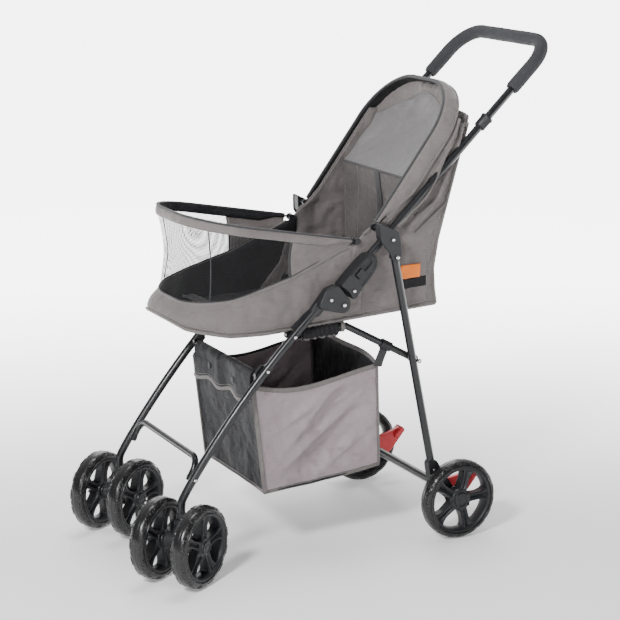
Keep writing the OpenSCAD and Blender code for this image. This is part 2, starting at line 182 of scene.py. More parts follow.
def woven(name, color, pitch=0.0011, rough=0.72, sheen=0.25, spread=0.10, depth=0.00022):
    """Plain weave driven by UVs in metres: crossing threads, slubs and soft mottling."""
    m, nt, bs, out = new_mat(name)
    tc, sep = coords(nt)
    k = 2 * PI / pitch
    wu = math_node(nt, "SINE", math_node(nt, "MULTIPLY", sep.outputs[0], k))
    wv = math_node(nt, "SINE", math_node(nt, "MULTIPLY", sep.outputs[1], k))
    weave = math_node(nt, "MULTIPLY", wu, wv)
    slub_u = noise_tex(nt, mapped(nt, tc.outputs["UV"], (900, 60, 1)), 1.0, 2)
    slub_v = noise_tex(nt, mapped(nt, tc.outputs["UV"], (60, 900, 1)), 1.0, 2)
    broad = noise_tex(nt, tc.outputs["Object"], 14, 4)
    mix = math_node(nt, "ADD", math_node(nt, "MULTIPLY", slub_u, 0.4),
                    math_node(nt, "MULTIPLY", slub_v, 0.4))
    mix = math_node(nt, "ADD", mix, math_node(nt, "MULTIPLY", broad, 0.3))
    mix = math_node(nt, "ADD", mix, math_node(nt, "MULTIPLY", weave, 0.06))
    nt.links.new(
        ramp(nt, mix, [(0.35, tone(color, 1 - 1.6 * spread)), (0.75, tone(color, 1 + 1.6 * spread))]),
        bs.inputs["Base Color"],
    )
    bs.inputs["Roughness"].default_value = rough
    bs.inputs["Specular IOR Level"].default_value = 0.4 if max(color) > 0.1 else 0.2
    bs.inputs["Sheen Weight"].default_value = sheen
    bs.inputs["Sheen Roughness"].default_value = 0.4
    h = math_node(nt, "ADD", math_node(nt, "MULTIPLY", weave, 0.6), math_node(nt, "MULTIPLY", mix, 1.2))
    soft = noise_tex(nt, tc.outputs["Object"], 38, 3)
    # pulled creases: ridged noise, stretched along a slant
    slant = noise_tex(nt, mapped(nt, tc.outputs["Object"], (16, 7, 24), (0.9, 0.2, 0.1)), 1.0, 3, 0.5)
    ridge = math_node(nt, "ABSOLUTE", math_node(nt, "SUBTRACT", slant, 0.5))
    n0 = bump(nt, noise_tex(nt, tc.outputs["Object"], 7.5, 3, 0.55), 0.9, 0.030)
    n0 = bump(nt, ridge, 0.5, 0.016, n0)
    n1 = bump(nt, soft, 0.6, 0.0030, n0)
    nt.links.new(bump(nt, h, 0.55, depth, n1), bs.inputs["Normal"])
    return m


def netting(name, color, pitch, hole):
    """Open mesh: round holes between threads, cut with a transparent shader."""
    m, nt, bs, out = new_mat(name)
    tc, sep = coords(nt)
    k = 2 * PI / pitch
    cu = math_node(nt, "COSINE", math_node(nt, "MULTIPLY", sep.outputs[0], k))
    cv = math_node(nt, "COSINE", math_node(nt, "MULTIPLY", sep.outputs[1], k))
    web = math_node(nt, "ADD", cu, cv)
    open_ = math_node(nt, "GREATER_THAN", web, hole)
    tr = node(nt, "ShaderNodeBsdfTransparent")
    mixer = node(nt, "ShaderNodeMixShader")
    nt.links.new(open_, mixer.inputs[0])
    nt.links.new(bs.outputs[0], mixer.inputs[1])
    nt.links.new(tr.outputs[0], mixer.inputs[2])
    nt.links.new(mixer.outputs[0], out.inputs[0])
    co = tc.outputs["Object"]
    nt.links.new(
        ramp(nt, noise_tex(nt, co, 300, 3), [(0.3, tone(color, 0.8)), (0.7, tone(color, 1.2))]),
        bs.inputs["Base Color"],
    )
    bs.inputs["Roughness"].default_value = 0.75
    bs.inputs["Specular IOR Level"].default_value = 0.25
    return m


def ribbed(name, color, pitch=0.0016, rough=0.75):
    """Grosgrain binding tape: fine ribs across its length."""
    m, nt, bs, out = new_mat(name)
    tc, sep = coords(nt)
    rib = math_node(nt, "SINE", math_node(nt, "MULTIPLY", sep.outputs[0], 2 * PI / pitch))
    mot = noise_tex(nt, tc.outputs["Object"], 120, 4)
    nt.links.new(
        ramp(nt, mot, [(0.3, tone(color, 0.86)), (0.7, tone(color, 1.14))]), bs.inputs["Base Color"]
    )
    bs.inputs["Roughness"].default_value = rough
    bs.inputs["Sheen Weight"].default_value = 0.2
    h = math_node(nt, "ADD", math_node(nt, "MULTIPLY", rib, 0.5), mot)
    nt.links.new(bump(nt, h, 0.5, 0.0003), bs.inputs["Normal"])
    return m


TAUPE = (0.128, 0.114, 0.110)
M = {
    "coat": hard("powder_coat", (0.0085, 0.0090, 0.0105), 0.30, 0.0, 1400, 0.00012, 0.15, 0.30),
    "zinc": hard("zinc_plate", (0.72, 0.72, 0.71), 0.30, 1.0, 1200, 0.00008, 0.06),
    "plastic": hard("dark_plastic", (0.0115, 0.0120, 0.0140), 0.44, 0.0, 1800, 0.00022),
    "button": hard("button_plastic", (0.008, 0.008, 0.0095), 0.42, 0.0, 1800, 0.0002),
    "wheel": hard("wheel_plastic", (0.0165, 0.0172, 0.0195), 0.40, 0.0, 1500, 0.0002),
    "cap": hard("hub_plastic", (0.0105, 0.0108, 0.0120), 0.36, 0.0, 1500, 0.0002),
    "tyre": hard("tyre_rubber", (0.0105, 0.0104, 0.0112), 0.27, 0.0, 1100, 0.0002, 0.12, 0.25),
    "foam": hard("grip_foam", (0.024, 0.0245, 0.0275), 0.80, 0.0, 700, 0.0009, 0.14),
    "red": hard("red_plastic", (0.62, 0.022, 0.03), 0.36, 0.0, 1500, 0.00015, 0.08),
    "wire": hard("hoop_wire", (0.012, 0.012, 0.0135), 0.4, 0.3, 1400, 0.0001),
    "board": hard("floor_panel", (0.25, 0.18, 0.11), 0.7, 0.0, 500, 0.0003),
    "taupe": woven("taupe_cloth", TAUPE),
    "nylon": woven("taupe_nylon", (0.270, 0.222, 0.240), 0.0009, 0.34, 0.10, 0.07, 0.00014),
    "grey": woven("grey_lining", (0.138, 0.132, 0.134), 0.0009, 0.50, 0.12, 0.07, 0.00014),
    "slub": woven("slub_lining", (0.098, 0.086, 0.086), 0.0012, 0.8, 0.12, 0.22, 0.0003),
    "black": woven("black_cloth", (0.010, 0.010, 0.0115), 0.0011, 0.70, 0.04, 0.12),
    "charcoal": woven("charcoal_cloth", (0.0135, 0.0138, 0.0160), 0.0011, 0.60, 0.05, 0.12),
    "mat": woven("mat_cloth", (0.010, 0.010, 0.0115), 0.0014, 0.75, 0.05, 0.15, 0.0004),
    "tape_t": ribbed("taupe_tape", (0.112, 0.100, 0.097)),
    "tape_b": ribbed("black_tape", (0.016, 0.016, 0.018)),
    "net": netting("mesh_cloth", (0.006, 0.006, 0.007), 0.0024, 0.0),
    "thread_t": ribbed("taupe_thread", (0.235, 0.215, 0.205), 0.0008),
    "thread_b": ribbed("black_thread", (0.010, 0.010, 0.012), 0.0008),
    "orange": woven("orange_patch", (0.88, 0.20, 0.012), 0.0008, 0.6, 0.15, 0.05),
}
SLOT = {
    "powder_coat": "coat", "plated_steel": "zinc", "hoop_wire": "wire", "dark_plastic": "plastic",
    "button_plastic": "button", "wheel_plastic": "wheel", "tyre_rubber": "tyre",
    "grip_foam": "foam", "red_plastic": "red", "taupe_fabric": "taupe", "mesh_fabric": "net",
    "mat_fabric": "mat", "floor_panel": "board",
}
# the record's slot that goes with each of the new finishes
FINISH = {key: slot for slot, key in SLOT.items()}
FINISH.update({"nylon": "taupe_fabric", "grey": "taupe_fabric", "slub": "taupe_fabric",
               "tape_t": "taupe_fabric", "thread_t": "taupe_fabric",
               "black": "mat_fabric", "charcoal": "mat_fabric", "tape_b": "mat_fabric",
               "thread_b": "mat_fabric", "cap": "dark_plastic"})
for part in frame["record"]["subparts"]:
    o = NODES[part["node"]]
    o.data.materials.clear()
    dark = part["node"] in ("frame_rivets", "handle_pins", "rear_rivets", "fold_pins", "link_pins")
    o.data.materials.append(M["cap" if dark else SLOT[part["material_slot"]]])

# ---------------------------------------------------------------- mesh helpers


def put(name, verts, faces, mat, body=None, uv=None, smooth=True, solid=0.0, sub=0):
    me = bpy.data.meshes.new(name)
    me.from_pydata([tuple(float(c) for c in v) for v in verts], [], [tuple(f) for f in faces])
    me.update()
    if uv is not None:
        layer = me.uv_layers.new(name="UVMap")
        for loop in me.loops:
            layer.data[loop.index].uv = uv[loop.vertex_index]
    o = bpy.data.objects.new(name, me)
    scene.collection.objects.link(o)
    me.materials.append(M[mat])
    for p in me.polygons:
        p.use_smooth = smooth
    if solid:
        s = o.modifiers.new("thick", "SOLIDIFY")
        s.thickness = solid
        s.offset = 0.0
        s.use_even_offset = False
    if sub:
        s = o.modifiers.new("sub", "SUBSURF")
        s.levels = sub
        s.render_levels = sub
    if body:
        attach(o, body)
    return o


def lengths(P):
    """Distance along the first axis of a grid of points, averaged over the second."""
    d = np.linalg.norm(np.diff(P, axis=0), axis=2).mean(axis=1)
    return np.concatenate([[0], np.cumsum(d)])


def travel(P):
    """Distance along a line of points, at each of them."""
    return np.concatenate([[0], np.cumsum(np.linalg.norm(np.diff(P, axis=0), axis=1))])


def resample(t, s, P):
    """The points P, known at distances s, taken at distances t."""
    return np.stack([np.interp(t, s, P[:, k]) for k in range(3)], axis=1)


def ring_faces(rows, k, base=0):
    """Quads between rows of k points, each row closed on itself."""
    out = []
    for q in range(rows - 1):
        a, b = base + q * k, base + (q + 1) * k
        for m in range(k):
            m2 = (m + 1) % k
            out.append((a + m, a + m2, b + m2, b + m))
    return out


# rows and columns of each grid, by name
GRIDS = {}


def run(line):
    """Length of a line of points."""
    return float(np.linalg.norm(np.diff(line, axis=0), axis=1).sum())


def grid(name, P, mat, body=None, solid=0.0012):
    P = np.asarray(P, float)
    n, m = P.shape[:2]
    GRIDS[name] = (n, m)
    U = lengths(P)
    V = lengths(P.transpose(1, 0, 2))
    verts = P.reshape(-1, 3)
    uv = [(U[i], V[j]) for i in range(n) for j in range(m)]
    faces = []
    for i in range(n - 1):
        for j in range(m - 1):
            a = i * m + j
            b = a + m
            faces.append((a, b, b + 1, a + 1))
    return put(name, verts, faces, mat, body, uv, True, solid)


def cloth(o, held, *rests_on):
    """Reads a grid's points back from its mesh, turned if need be so that its longer seams run along the first
    axis, and keeps nothing; no cut is worked out here."""
    n, m = GRIDS[o.name]
    P = np.array([v.co[:] for v in o.data.vertices]).reshape(n, m, 3)
    if run(P[0]) + run(P[-1]) > run(P[:, 0]) + run(P[:, -1]):
        P = P.transpose(1, 0, 2)


def curve(points, n, closed=False):
    """Catmull-Rom through the points, resampled to n evenly spaced ones."""
    p = np.asarray(points, float)
    if closed:
        p = np.vstack([p[-1], p, p[0], p[1]])
    else:
        p = np.vstack([2 * p[0] - p[1], p, 2 * p[-1] - p[-2]])
    out = []
    for i in range(1, len(p) - 2):
        for t in np.linspace(0, 1, 24, endpoint=False):
            a, b, c, d = p[i - 1], p[i], p[i + 1], p[i + 2]
            out.append(
                0.5 * (2 * b + (c - a) * t + (2 * a - 5 * b + 4 * c - d) * t**2
                       + (3 * b - 3 * c + d - a) * t**3)
            )
    if not closed:
        out.append(p[-2])
    else:
        out.append(p[1])
    out = np.array(out)
    s = travel(out)
    t = np.linspace(0, s[-1], n + 1 if closed else n)
    q = resample(t, s, out)
    return q[:-1] if closed else q


def frames(P, closed=False, up=None):
    """Tangent, side and normal vectors along a path; up may be one vector or one per point."""
    n = len(P)
    if closed:
        T = np.roll(P, -1, 0) - np.roll(P, 1, 0)
    else:
        T = np.gradient(P, axis=0)
    T /= np.linalg.norm(T, axis=1)[:, None]
    if up is None:
        ref = np.array([0.0, 0.0, 1.0]) if abs(T[0][2]) < 0.9 else np.array([1.0, 0.0, 0.0])
        N = np.zeros_like(P)
        v = ref - T[0] * np.dot(ref, T[0])
        for i in range(n):
            v = v - T[i] * np.dot(v, T[i])
            v /= np.linalg.norm(v)
            N[i] = v
    else:
        up = np.broadcast_to(np.asarray(up, float), P.shape)
        N = up - T * np.sum(up * T, axis=1)[:, None]
        N /= np.maximum(np.linalg.norm(N, axis=1)[:, None], 1e-9)
    B = np.cross(T, N)
    return T, B, N


def sweep(name, P, section, mat, body=None, closed=False, up=None, caps=True, smooth=True):
    """Sweeps a closed section of (side, normal) points along a path."""
    P = np.asarray(P, float)
    B, N = frames(P, closed, up)[1:]
    k = len(section)
    verts, uv = [], []
    s = travel(P)
    c = np.cumsum([0] + [math.dist(section[i], section[(i + 1) % k]) for i in range(k)])
    for i in range(len(P)):
        for j, (a, b) in enumerate(section):
            verts.append(P[i] + B[i] * a + N[i] * b)
            uv.append((s[i], c[j]))
    faces = []
    rows = len(P)
    for i in range(rows if closed else rows - 1):
        for j in range(k):
            a = i * k + j
            b = i * k + (j + 1) % k
            i2 = (i + 1) % rows
            faces.append((a, i2 * k + j, i2 * k + (j + 1) % k, b))
    if caps and not closed:
        faces.append(tuple(range(k))[::-1])
        faces.append(tuple((rows - 1) * k + j for j in range(k)))
    return put(name, verts, faces, mat, body, uv, smooth)


def ring(r, k=12, flat=1.0):
    return [(r * math.cos(2 * PI * i / k), flat * r * math.sin(2 * PI * i / k)) for i in range(k)]


def oblong(w, t, k=16):
    """Section of a flat tape, w wide and t thick, with rounded edges."""
    out = []
    for i in range(k):
        a = 2 * PI * i / k
        c, s = math.cos(a), math.sin(a)
        out.append((w / 2 * math.copysign(abs(c) ** 0.55, c), t / 2 * math.copysign(abs(s) ** 0.7, s)))
    return out


def tube(name, pts, r, mat, body=None, k=12, closed=False):
    return sweep(name, pts, ring(r, k), mat, body, closed)


def tape(name, pts, normal, w, t, mat, body=None, closed=False):
    return sweep(name, pts, oblong(w, t), mat, body, closed, up=normal)


def stitches(name, pts, normal, mat, body, pitch=0.0052, size=(0.0031, 0.0007, 0.0005), lift=0.0):
    """A row of thread stitches laid on a path."""
    P = np.asarray(pts, float)
    s = travel(P)
    n = max(3, int(s[-1] / pitch))
    t = np.linspace(0, s[-1], n)
    Q = resample(t, s, P)
    up = np.asarray(normal, float)
    if up.ndim == 2:
        up = resample(t, s, up)
    T, B, N = frames(Q, False, up)
    l, w, h = size
    verts, faces, uv = [], [], []
    for i in range(n):
        c = Q[i] + N[i] * lift
        base = len(verts)
        for a, hh in ((-0.5, 0.0), (-0.3, 0.8), (0.3, 0.8), (0.5, 0.0)):
            for b in (-0.5, 0.5):
                verts.append(c + T[i] * a * l + B[i] * b * w + N[i] * hh * h)
                uv.append((a * l, b * w))
        verts += [c - T[i] * 0.5 * l - N[i] * h, c + T[i] * 0.5 * l - N[i] * h]
        uv += [(0, 0), (0, 0)]
        for q in range(3):
            f = base + 2 * q
            faces.append((f, f + 1, f + 3, f + 2))
        faces.append((base, base + 2, base + 4, base + 6, base + 9, base + 8))
        faces.append((base + 1, base + 8, base + 9, base + 7, base + 5, base + 3))
    return put(name, verts, faces, mat, body, uv, False)


def wobble(p, amp, freq, seed=0.0):
    q = Vector((p[0] * freq + seed, p[1] * freq - seed, p[2] * freq + 0.5 * seed))
    return amp * noise.noise(q)


def crease(a):
    """A wave with rounded valleys and sharper crests, as in pulled cloth."""
    return 1.6 * (1 - abs(math.sin(0.5 * a))) ** 1.5 - 0.5


def lathe(name, c, axis, profile, mat, body=None, seg=72, close=False):
    """Turns a profile of (along axis, radius) points about an axis through c."""
    c, a = np.asarray(c, float), np.asarray(axis, float)
    a = a / np.linalg.norm(a)
    u = np.array([0.0, 0.0, 1.0]) if abs(a[2]) < 0.9 else np.array([1.0, 0.0, 0.0])
    u = u - a * np.dot(u, a)
    u /= np.linalg.norm(u)
    v = np.cross(a, u)
    k = len(profile)
    L = np.cumsum([0] + [math.dist(profile[i], profile[i + 1]) for i in range(k - 1)])
    verts, uv, faces = [], [], []
    for i in range(seg):
        t = 2 * PI * i / seg
        d = u * math.cos(t) + v * math.sin(t)
        for j, (x, r) in enumerate(profile):
            verts.append(c + a * x + d * r)
            uv.append((t * 0.06, L[j]))
    for i in range(seg):
        i2 = (i + 1) % seg
        for j in range(k - 1 + (1 if close else 0)):
            j2 = (j + 1) % k
            faces.append((i * k + j, i2 * k + j, i2 * k + j2, i * k + j2))
    return put(name, verts, faces, mat, body, uv)


def bevel(o, w=0.0012, seg=3, angle=35):
    b = o.modifiers.new("bevel", "BEVEL")
    b.width = w
    b.segments = seg
    b.limit_method = "ANGLE"
    b.angle_limit = math.radians(angle)
    return o


# ---------------------------------------------------------------- shapes shared by the soft goods

HALF = 0.1315  # half the cabin's width
LEG_X = 0.148  # each side tube's distance from the middle
LINK_X = 0.1305  # each floor link's distance from the middle
SIDES = (("left", 1), ("right", -1))


def z_bottom(y):
    return float(np.interp(y, [-0.318, -0.298, -0.23, -0.161, -0.1, -0.007, 0.109, 0.199],
                           [0.463, 0.450, 0.4385, 0.4355, 0.438, 0.4435, 0.4485, 0.4525]))


def z_rim(y):
    return float(np.interp(y, [-0.318, -0.29, -0.224, -0.106, -0.04, 0.023, 0.06],
                           [0.487, 0.490, 0.4995, 0.531, 0.558, 0.584, 0.600]))


def plan(t, half, front, corner, rear):
    """The cabin's outline from above: t runs 0 to 1 from the left rear, round the nose, to the right rear."""
    side = rear - (front + corner)
    arc = 0.5 * PI * corner
    flat = 2 * (half - corner)
    total = 2 * side + 2 * arc + flat
    s = t * total
    if s < side:
        return half, rear - s
    s -= side
    if s < arc:
        a = s / corner
        return half - corner + corner * math.cos(a), front + corner - corner * math.sin(a)
    s -= arc
    if s < flat:
        return half - corner - s, front
    s -= flat
    if s < arc:
        a = s / corner
        return -(half - corner) - corner * math.sin(a), front + corner - corner * math.cos(a)
    s -= arc
    return -half, front + corner + s


def outline(n, half, front, corner, rear, z):
    pts = []
    for i in range(n):
        x, y = plan(i / (n - 1), half, front, corner, rear)
        pts.append((x, y, z(y)))
    return np.array(pts)


def flat_normals(P):
    """Outward horizontal normals of a plan outline."""
    T = np.gradient(P, axis=0)
    N = np.stack([-T[:, 1], T[:, 0], 0 * T[:, 0]], axis=1)
    N /= np.linalg.norm(N, axis=1)[:, None]
    if np.dot(N[0], np.array([P[0][0], 0, 0])) < 0:
        N = -N
    return N


NT = 121
REAR = 0.035
low_line = outline(NT, HALF, -0.316, 0.112, REAR, z_bottom)
out_n = flat_normals(low_line)
rim_line = outline(NT, HALF - 0.0015, -0.292, 0.104, REAR, z_rim)

# The tub's shell: up from the bottom seam, out in a soft bulge and in to the rim
rows = []
for v in np.linspace(0, 1, 15):
    e = v**1.6
    pos = low_line * (1 - e) + rim_line * e
    pos[:, 2] = low_line[:, 2] * (1 - v) + rim_line[:, 2] * v
    swell = 0.0045 * math.sin(PI * min(1, v * 1.12))
    pos = pos + out_n * swell
    rows.append(pos)
shell = np.array(rows).transpose(1, 0, 2)
for i in range(shell.shape[0]):
    for j in range(shell.shape[1]):
        w = math.sin(PI * j / 14.0)
        shell[i, j] += out_n[i] * w * (wobble(shell[i, j], 0.0042, 15) + wobble(shell[i, j], 0.0016, 45, 3))
tub = grid("tub_shell", shell, "taupe", "front_frame", 0.0016)
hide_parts("cabin_tub")
inner = shell - out_n[:, None, :] * 0.0028
inner[:, :, 2] += 0.0012
lining = grid("tub_lining", inner[:, 1:], "black", "front_frame", 0.0012)

# Bottom panel, with a soft sag between its edges
PB = []
for i in range(NT):
    a = low_line[i]
    b = low_line[NT - 1 - i]
    row = []
    for s in np.linspace(0, 1, 9):
        q = a * (1 - s) + b * s
        q[2] -= 0.0015 * math.sin(PI * s)
        row.append(q)
    PB.append(row)
PB = np.array(PB[: NT // 2 + 1])
under = grid("tub_base", PB, "taupe", "front_frame", 0.0014)
PR = []
for y in np.linspace(REAR, 0.194, 24):
    PR.append([(x, y, z_bottom(y) + wobble(Vector((x, y, 0)), 0.001, 20))
               for x in np.linspace(-HALF, HALF, 13)])
under_rear = grid("rear_base", PR, "taupe", "front_frame", 0.0014)

# Piping on the bottom seam and binding on the rim
full_low = outline(181, HALF + 0.0012, -0.3185, 0.113, 0.196, z_bottom)
pn = flat_normals(full_low)
full_low[:, 2] -= 0.0006
tape("bottom_piping", full_low, pn * 0.75 + np.array([0, 0, -0.65]), 0.0085, 0.0042, "tape_t",
     "front_frame")
stitches("bottom_stitching", full_low + pn * 0.0014 + np.array([0, 0, 0.0075]), pn, "thread_t",
         "front_frame")
rim_bind = rim_line + out_n * 0.0006
tape("rim_binding", rim_bind[3:-3], out_n[3:-3], 0.006, 0.0036, "tape_t", "front_frame")

# ---------------------------------------------------------------- visor: hoop band and netting


def hoop_points(p, angle, half, top, corner, n, start=0.0):
    """Points along a round-cornered U that starts at its left pivot."""
    c, s = math.cos(math.radians(angle)), math.sin(math.radians(angle))
    side = top - corner - start
    arc = 0.5 * PI * corner
    flat = 2 * (half - corner)
    total = 2 * side + 2 * arc + flat
    out = []
    for i in range(n):
        d = total * i / (n - 1)
        if d < side:
            x, h = half, start + d
        elif d < side + arc:
            a = (d - side) / corner
            x, h = half - corner + corner * math.cos(a), top - corner + corner * math.sin(a)
        elif d < side + arc + flat:
            x, h = half - corner - (d - side - arc), top
        elif d < side + 2 * arc + flat:
            a = (d - side - arc - flat) / corner
            x, h = -(half - corner) - corner * math.sin(a), top - corner + corner * math.cos(a)
        else:
            x, h = -half, start + (total - d)
        out.append((x, p[0] + h * c, p[1] + h * s))
    return np.array(out)


NV = 141
visor_u = hoop_points((0.025, 0.588), 169, 0.1365, 0.321, 0.110, NV, 0.012)
vn = flat_normals(visor_u)
# the cloth sleeve is wrapped round the wire: its outer face is taupe, its inner face black
band_top = visor_u + np.array([0, 0, 0.0028])
drop = 0.0165 * np.clip(np.minimum(np.arange(NV), NV - 1 - np.arange(NV)) / 10.0, 0.35, 1)
bo, bi = [], []
for k in range(7):
    v = k / 6.0
    fat = 0.0030 * math.sin(PI * min(1.0, 0.25 + 0.75 * (1 - v))) + 0.0003
    lowered = band_top - np.array([0, 0, 1.0]) * (drop * v)[:, None]
    bo.append(lowered + vn * (fat + 0.0006))
    bi.append(lowered - vn * (fat + 0.0002))
band_out = grid("visor_band", np.array(bo).transpose(1, 0, 2), "taupe", "visor", 0.0009)
band_in = grid("visor_band_lining", np.array(bi).transpose(1, 0, 2), "charcoal", "visor", 0.0009)
tape("visor_piping", band_top + np.array([0, 0, 0.0004]), [0, 0, 1], 0.0058, 0.0040, "tape_b", "visor")
stitches("visor_stitching", visor_u + vn * 0.0030 - np.array([0, 0, 1.0]) * (drop * 0.86 - 0.0028)[:, None],
         vn, "thread_b", "visor")

# netting between band and rim; the rear part of each side is taupe cloth
band_low = band_top - np.array([0, 0, 1.0]) * drop[:, None] + vn * 0.0002
rim_s = travel(rim_line)
vis_s = travel(visor_u)
first = 4
rim_t = rim_s[first] + (rim_s[-1 - first] - rim_s[first]) * (vis_s / vis_s[-1])
rim_u = resample(rim_t, rim_s, rim_line)
net = []
for k in range(13):
    v = k / 12.0
    q = band_low * (1 - v) + rim_u * v
    q = q - vn * (0.010 * math.sin(PI * v)) * np.clip((-visor_u[:, 1] + 0.02) / 0.2, 0, 1)[:, None]
    net.append(q)
net = np.array(net).transpose(1, 0, 2)
for i in range(NV):
    for j in range(1, 12):
        net[i, j] += vn[i] * wobble(net[i, j], 0.0022, 20, 5) * math.sin(PI * j / 12.0)
# where the curved side seams lie along the band
cut = int(np.argmin(np.abs(visor_u[: NV // 2, 1] + 0.108)))
netting_piece = grid("visor_net", net[cut : NV - cut], "net", None, 0.0)
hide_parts("visor_mesh")
side_l = grid("visor_side_left", net[: cut + 1] + vn[: cut + 1, None, :] * 0.0006, "taupe", None, 0.0012)
side_r = grid("visor_side_right", net[NV - cut - 1 :] + vn[NV - cut - 1 :, None, :] * 0.0006, "taupe", None,
              0.0012)
for o in (netting_piece, side_l, side_r):
    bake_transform(o)
corner_i = [int(NV * 0.355), int(NV * 0.645)]
for k, i in enumerate([cut, NV - 1 - cut] + corner_i):
    P = net[i] + vn[i] * 0.0012
    t = tape("visor_seam_%d" % k, curve(P, 16), vn[i], 0.0050 if k < 2 else 0.0022, 0.0014, "tape_b", None)
    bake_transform(t)
low_seam = net[6:-6, 12] + np.array([0, 0, 0.002])
tape("visor_hem", low_seam, vn[6:-6], 0.006, 0.0018, "tape_b", "front_frame")

# ---------------------------------------------------------------- floor pad and nose patch


def pad(name, P, thick, mat, body, swell=0.0025, channels=()):
    """A closed, crowned pad over a grid of points, thinner at its edges and along its channels."""
    P = np.asarray(P, float)
    n, m = P.shape[:2]
    top = np.zeros((n, m, 3))
    bottom = np.zeros((n, m, 3))
    for i in range(n):
        for j in range(m):
            e = min(i, n - 1 - i, j, m - 1 - j) / 3.0
            h = thick * (0.35 + 0.65 * min(1.0, e) ** 0.5)
            for c in channels:
                h -= 0.0035 * math.exp(-(((P[i, j][1] - c) / 0.004) ** 2))
            top[i, j] = P[i, j] + np.array([0, 0, h + wobble(P[i, j], swell, 24)])
            bottom[i, j] = P[i, j]
    verts = np.vstack([top.reshape(-1, 3), bottom.reshape(-1, 3)])
    uv = [(v[0], v[1]) for v in verts]
    off = n * m
    faces = []
    for i in range(n - 1):
        for j in range(m - 1):
            a = i * m + j
            faces.append((a, a + m, a + m + 1, a + 1))
            faces.append((off + a, off + a + 1, off + a + m + 1, off + a + m))
    for i in range(n - 1):
        for j in (0, m - 1):
            a = i * m + j
            f = (a, off + a, off + a + m, a + m)
            faces.append(f if j == 0 else f[::-1])
    for j in range(m - 1):
        for i in (0, n - 1):
            a = i * m + j
            f = (a, a + 1, off + a + 1, off + a)
            faces.append(f if i == 0 else f[::-1])
    return put(name, verts, faces, mat, body, uv, True, 0.0, 1)


PF = []
for y in np.linspace(-0.192, 0.180, 60):
    PF.append([(x, y, float(np.interp(y, [-0.194, -0.161, -0.1, -0.007, 0.109, 0.182],
                                      [0.4462, 0.4452, 0.4467, 0.4522, 0.4572, 0.4612])))
               for x in np.linspace(-0.123, 0.123, 27)])
floor_pad = pad("floor_pad", PF, 0.0105, "mat", "front_frame", 0.0022, (-0.10, 0.0, 0.10))
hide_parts("floor_mat")

# the padded nose floor in front of the board, and the strap over it
PN = []
for y in np.linspace(-0.298, -0.200, 22):
    half = HALF - 0.016
    if y < -0.205:
        d = (-0.205 - y) / 0.100
        half = 0.045 + (HALF - 0.016 - 0.045) * math.sqrt(max(0.0, 1 - min(1, d) ** 2))
    z = z_bottom(y) + 0.0045 + 0.010 * max(0, (-0.27 - y) / 0.03)
    PN.append([(x, y, z + 0.012 * (abs(x) / HALF) ** 4) for x in np.linspace(-half, half, 21)])
nose_pad = pad("nose_pad", PN, 0.008, "charcoal", "front_frame", 0.002)
strap = curve([(0.108, -0.208, 0.462), (0.05, -0.212, 0.4665), (0.0, -0.213, 0.4672),
               (-0.05, -0.212, 0.4665), (-0.108, -0.208, 0.462)], 40)
tape("nose_strap", strap, [0, -0.15, 1], 0.022, 0.0022, "tape_b", "front_frame")
stitches("strap_stitching_a", strap + np.array([0, -0.009, 0.0012]), [0, 0, 1], "thread_t", "front_frame")
stitches("strap_stitching_b", strap + np.array([0, 0.009, 0.0012]), [0, 0, 1], "thread_t", "front_frame")
PD = []
for i in range(31):
    a = PI * i / 30.0
    PD.append((0.072 * math.cos(a), -0.218 - 0.058 * math.sin(a),
               z_bottom(-0.218 - 0.058 * math.sin(a)) + 0.0145))
tape("nose_seam", np.array(PD), [0, 0, 1], 0.004, 0.0018, "tape_b", "front_frame")

# ---------------------------------------------------------------- back: side panels, rear panel, pocket

rear_z = [0.452, 0.480, 0.520, 0.576, 0.641, 0.714, 0.742, 0.79]
rear_y = [0.1965, 0.192, 0.1895, 0.1990, 0.2175, 0.2385, 0.2475, 0.262]


def y_rear(z):
    return float(np.interp(z, rear_z, rear_y))


def y_fore(z):
    return float(np.interp(z, [0.445, 0.500, 0.585, 0.606, 0.612, 0.640, 0.79],
                           [-0.052, 0.0, 0.024, 0.050, 0.062, 0.090, 0.2035]))


BACK_LOW, BACK_TOP = 0.452, 0.790
BACK_ROWS, BACK_COLS = 60, 40


def cell(y, z):
    """Row and column of the side panel's grid at a place on it."""
    yf, yr = y_fore(z), y_rear(z)
    return (z - BACK_LOW) / (BACK_TOP - BACK_LOW) * BACK_ROWS, (y - yf) / (yr - yf) * BACK_COLS


def side_panel(sign):
    P = []
    for s in np.linspace(0, 1, BACK_ROWS + 1):
        row = []
        for w in np.linspace(0, 1, BACK_COLS + 1):
            z0 = z_bottom(-0.05 + 0.246 * w)
            z = z0 + (BACK_TOP - z0) * s
            yf, yr = y_fore(z), y_rear(z)
            y = yf + (yr - yf) * w
            bulge = 0.0030 * math.sin(PI * w) * math.sin(PI * min(1.0, s * 1.1))
            fold = wobble((0.7, y * 1.2, z * 0.55), 0.0052, 24, 7 * sign)
            fold += wobble((0.1, y, z), 0.0020, 52, 2)
            edge = min(1.0, w * 6, (1 - w) * 6, s * 8)
            x = sign * (HALF + 0.0006 + bulge + fold * edge)
            row.append((x, y, z))
        P.append(row)
    return np.array(P)


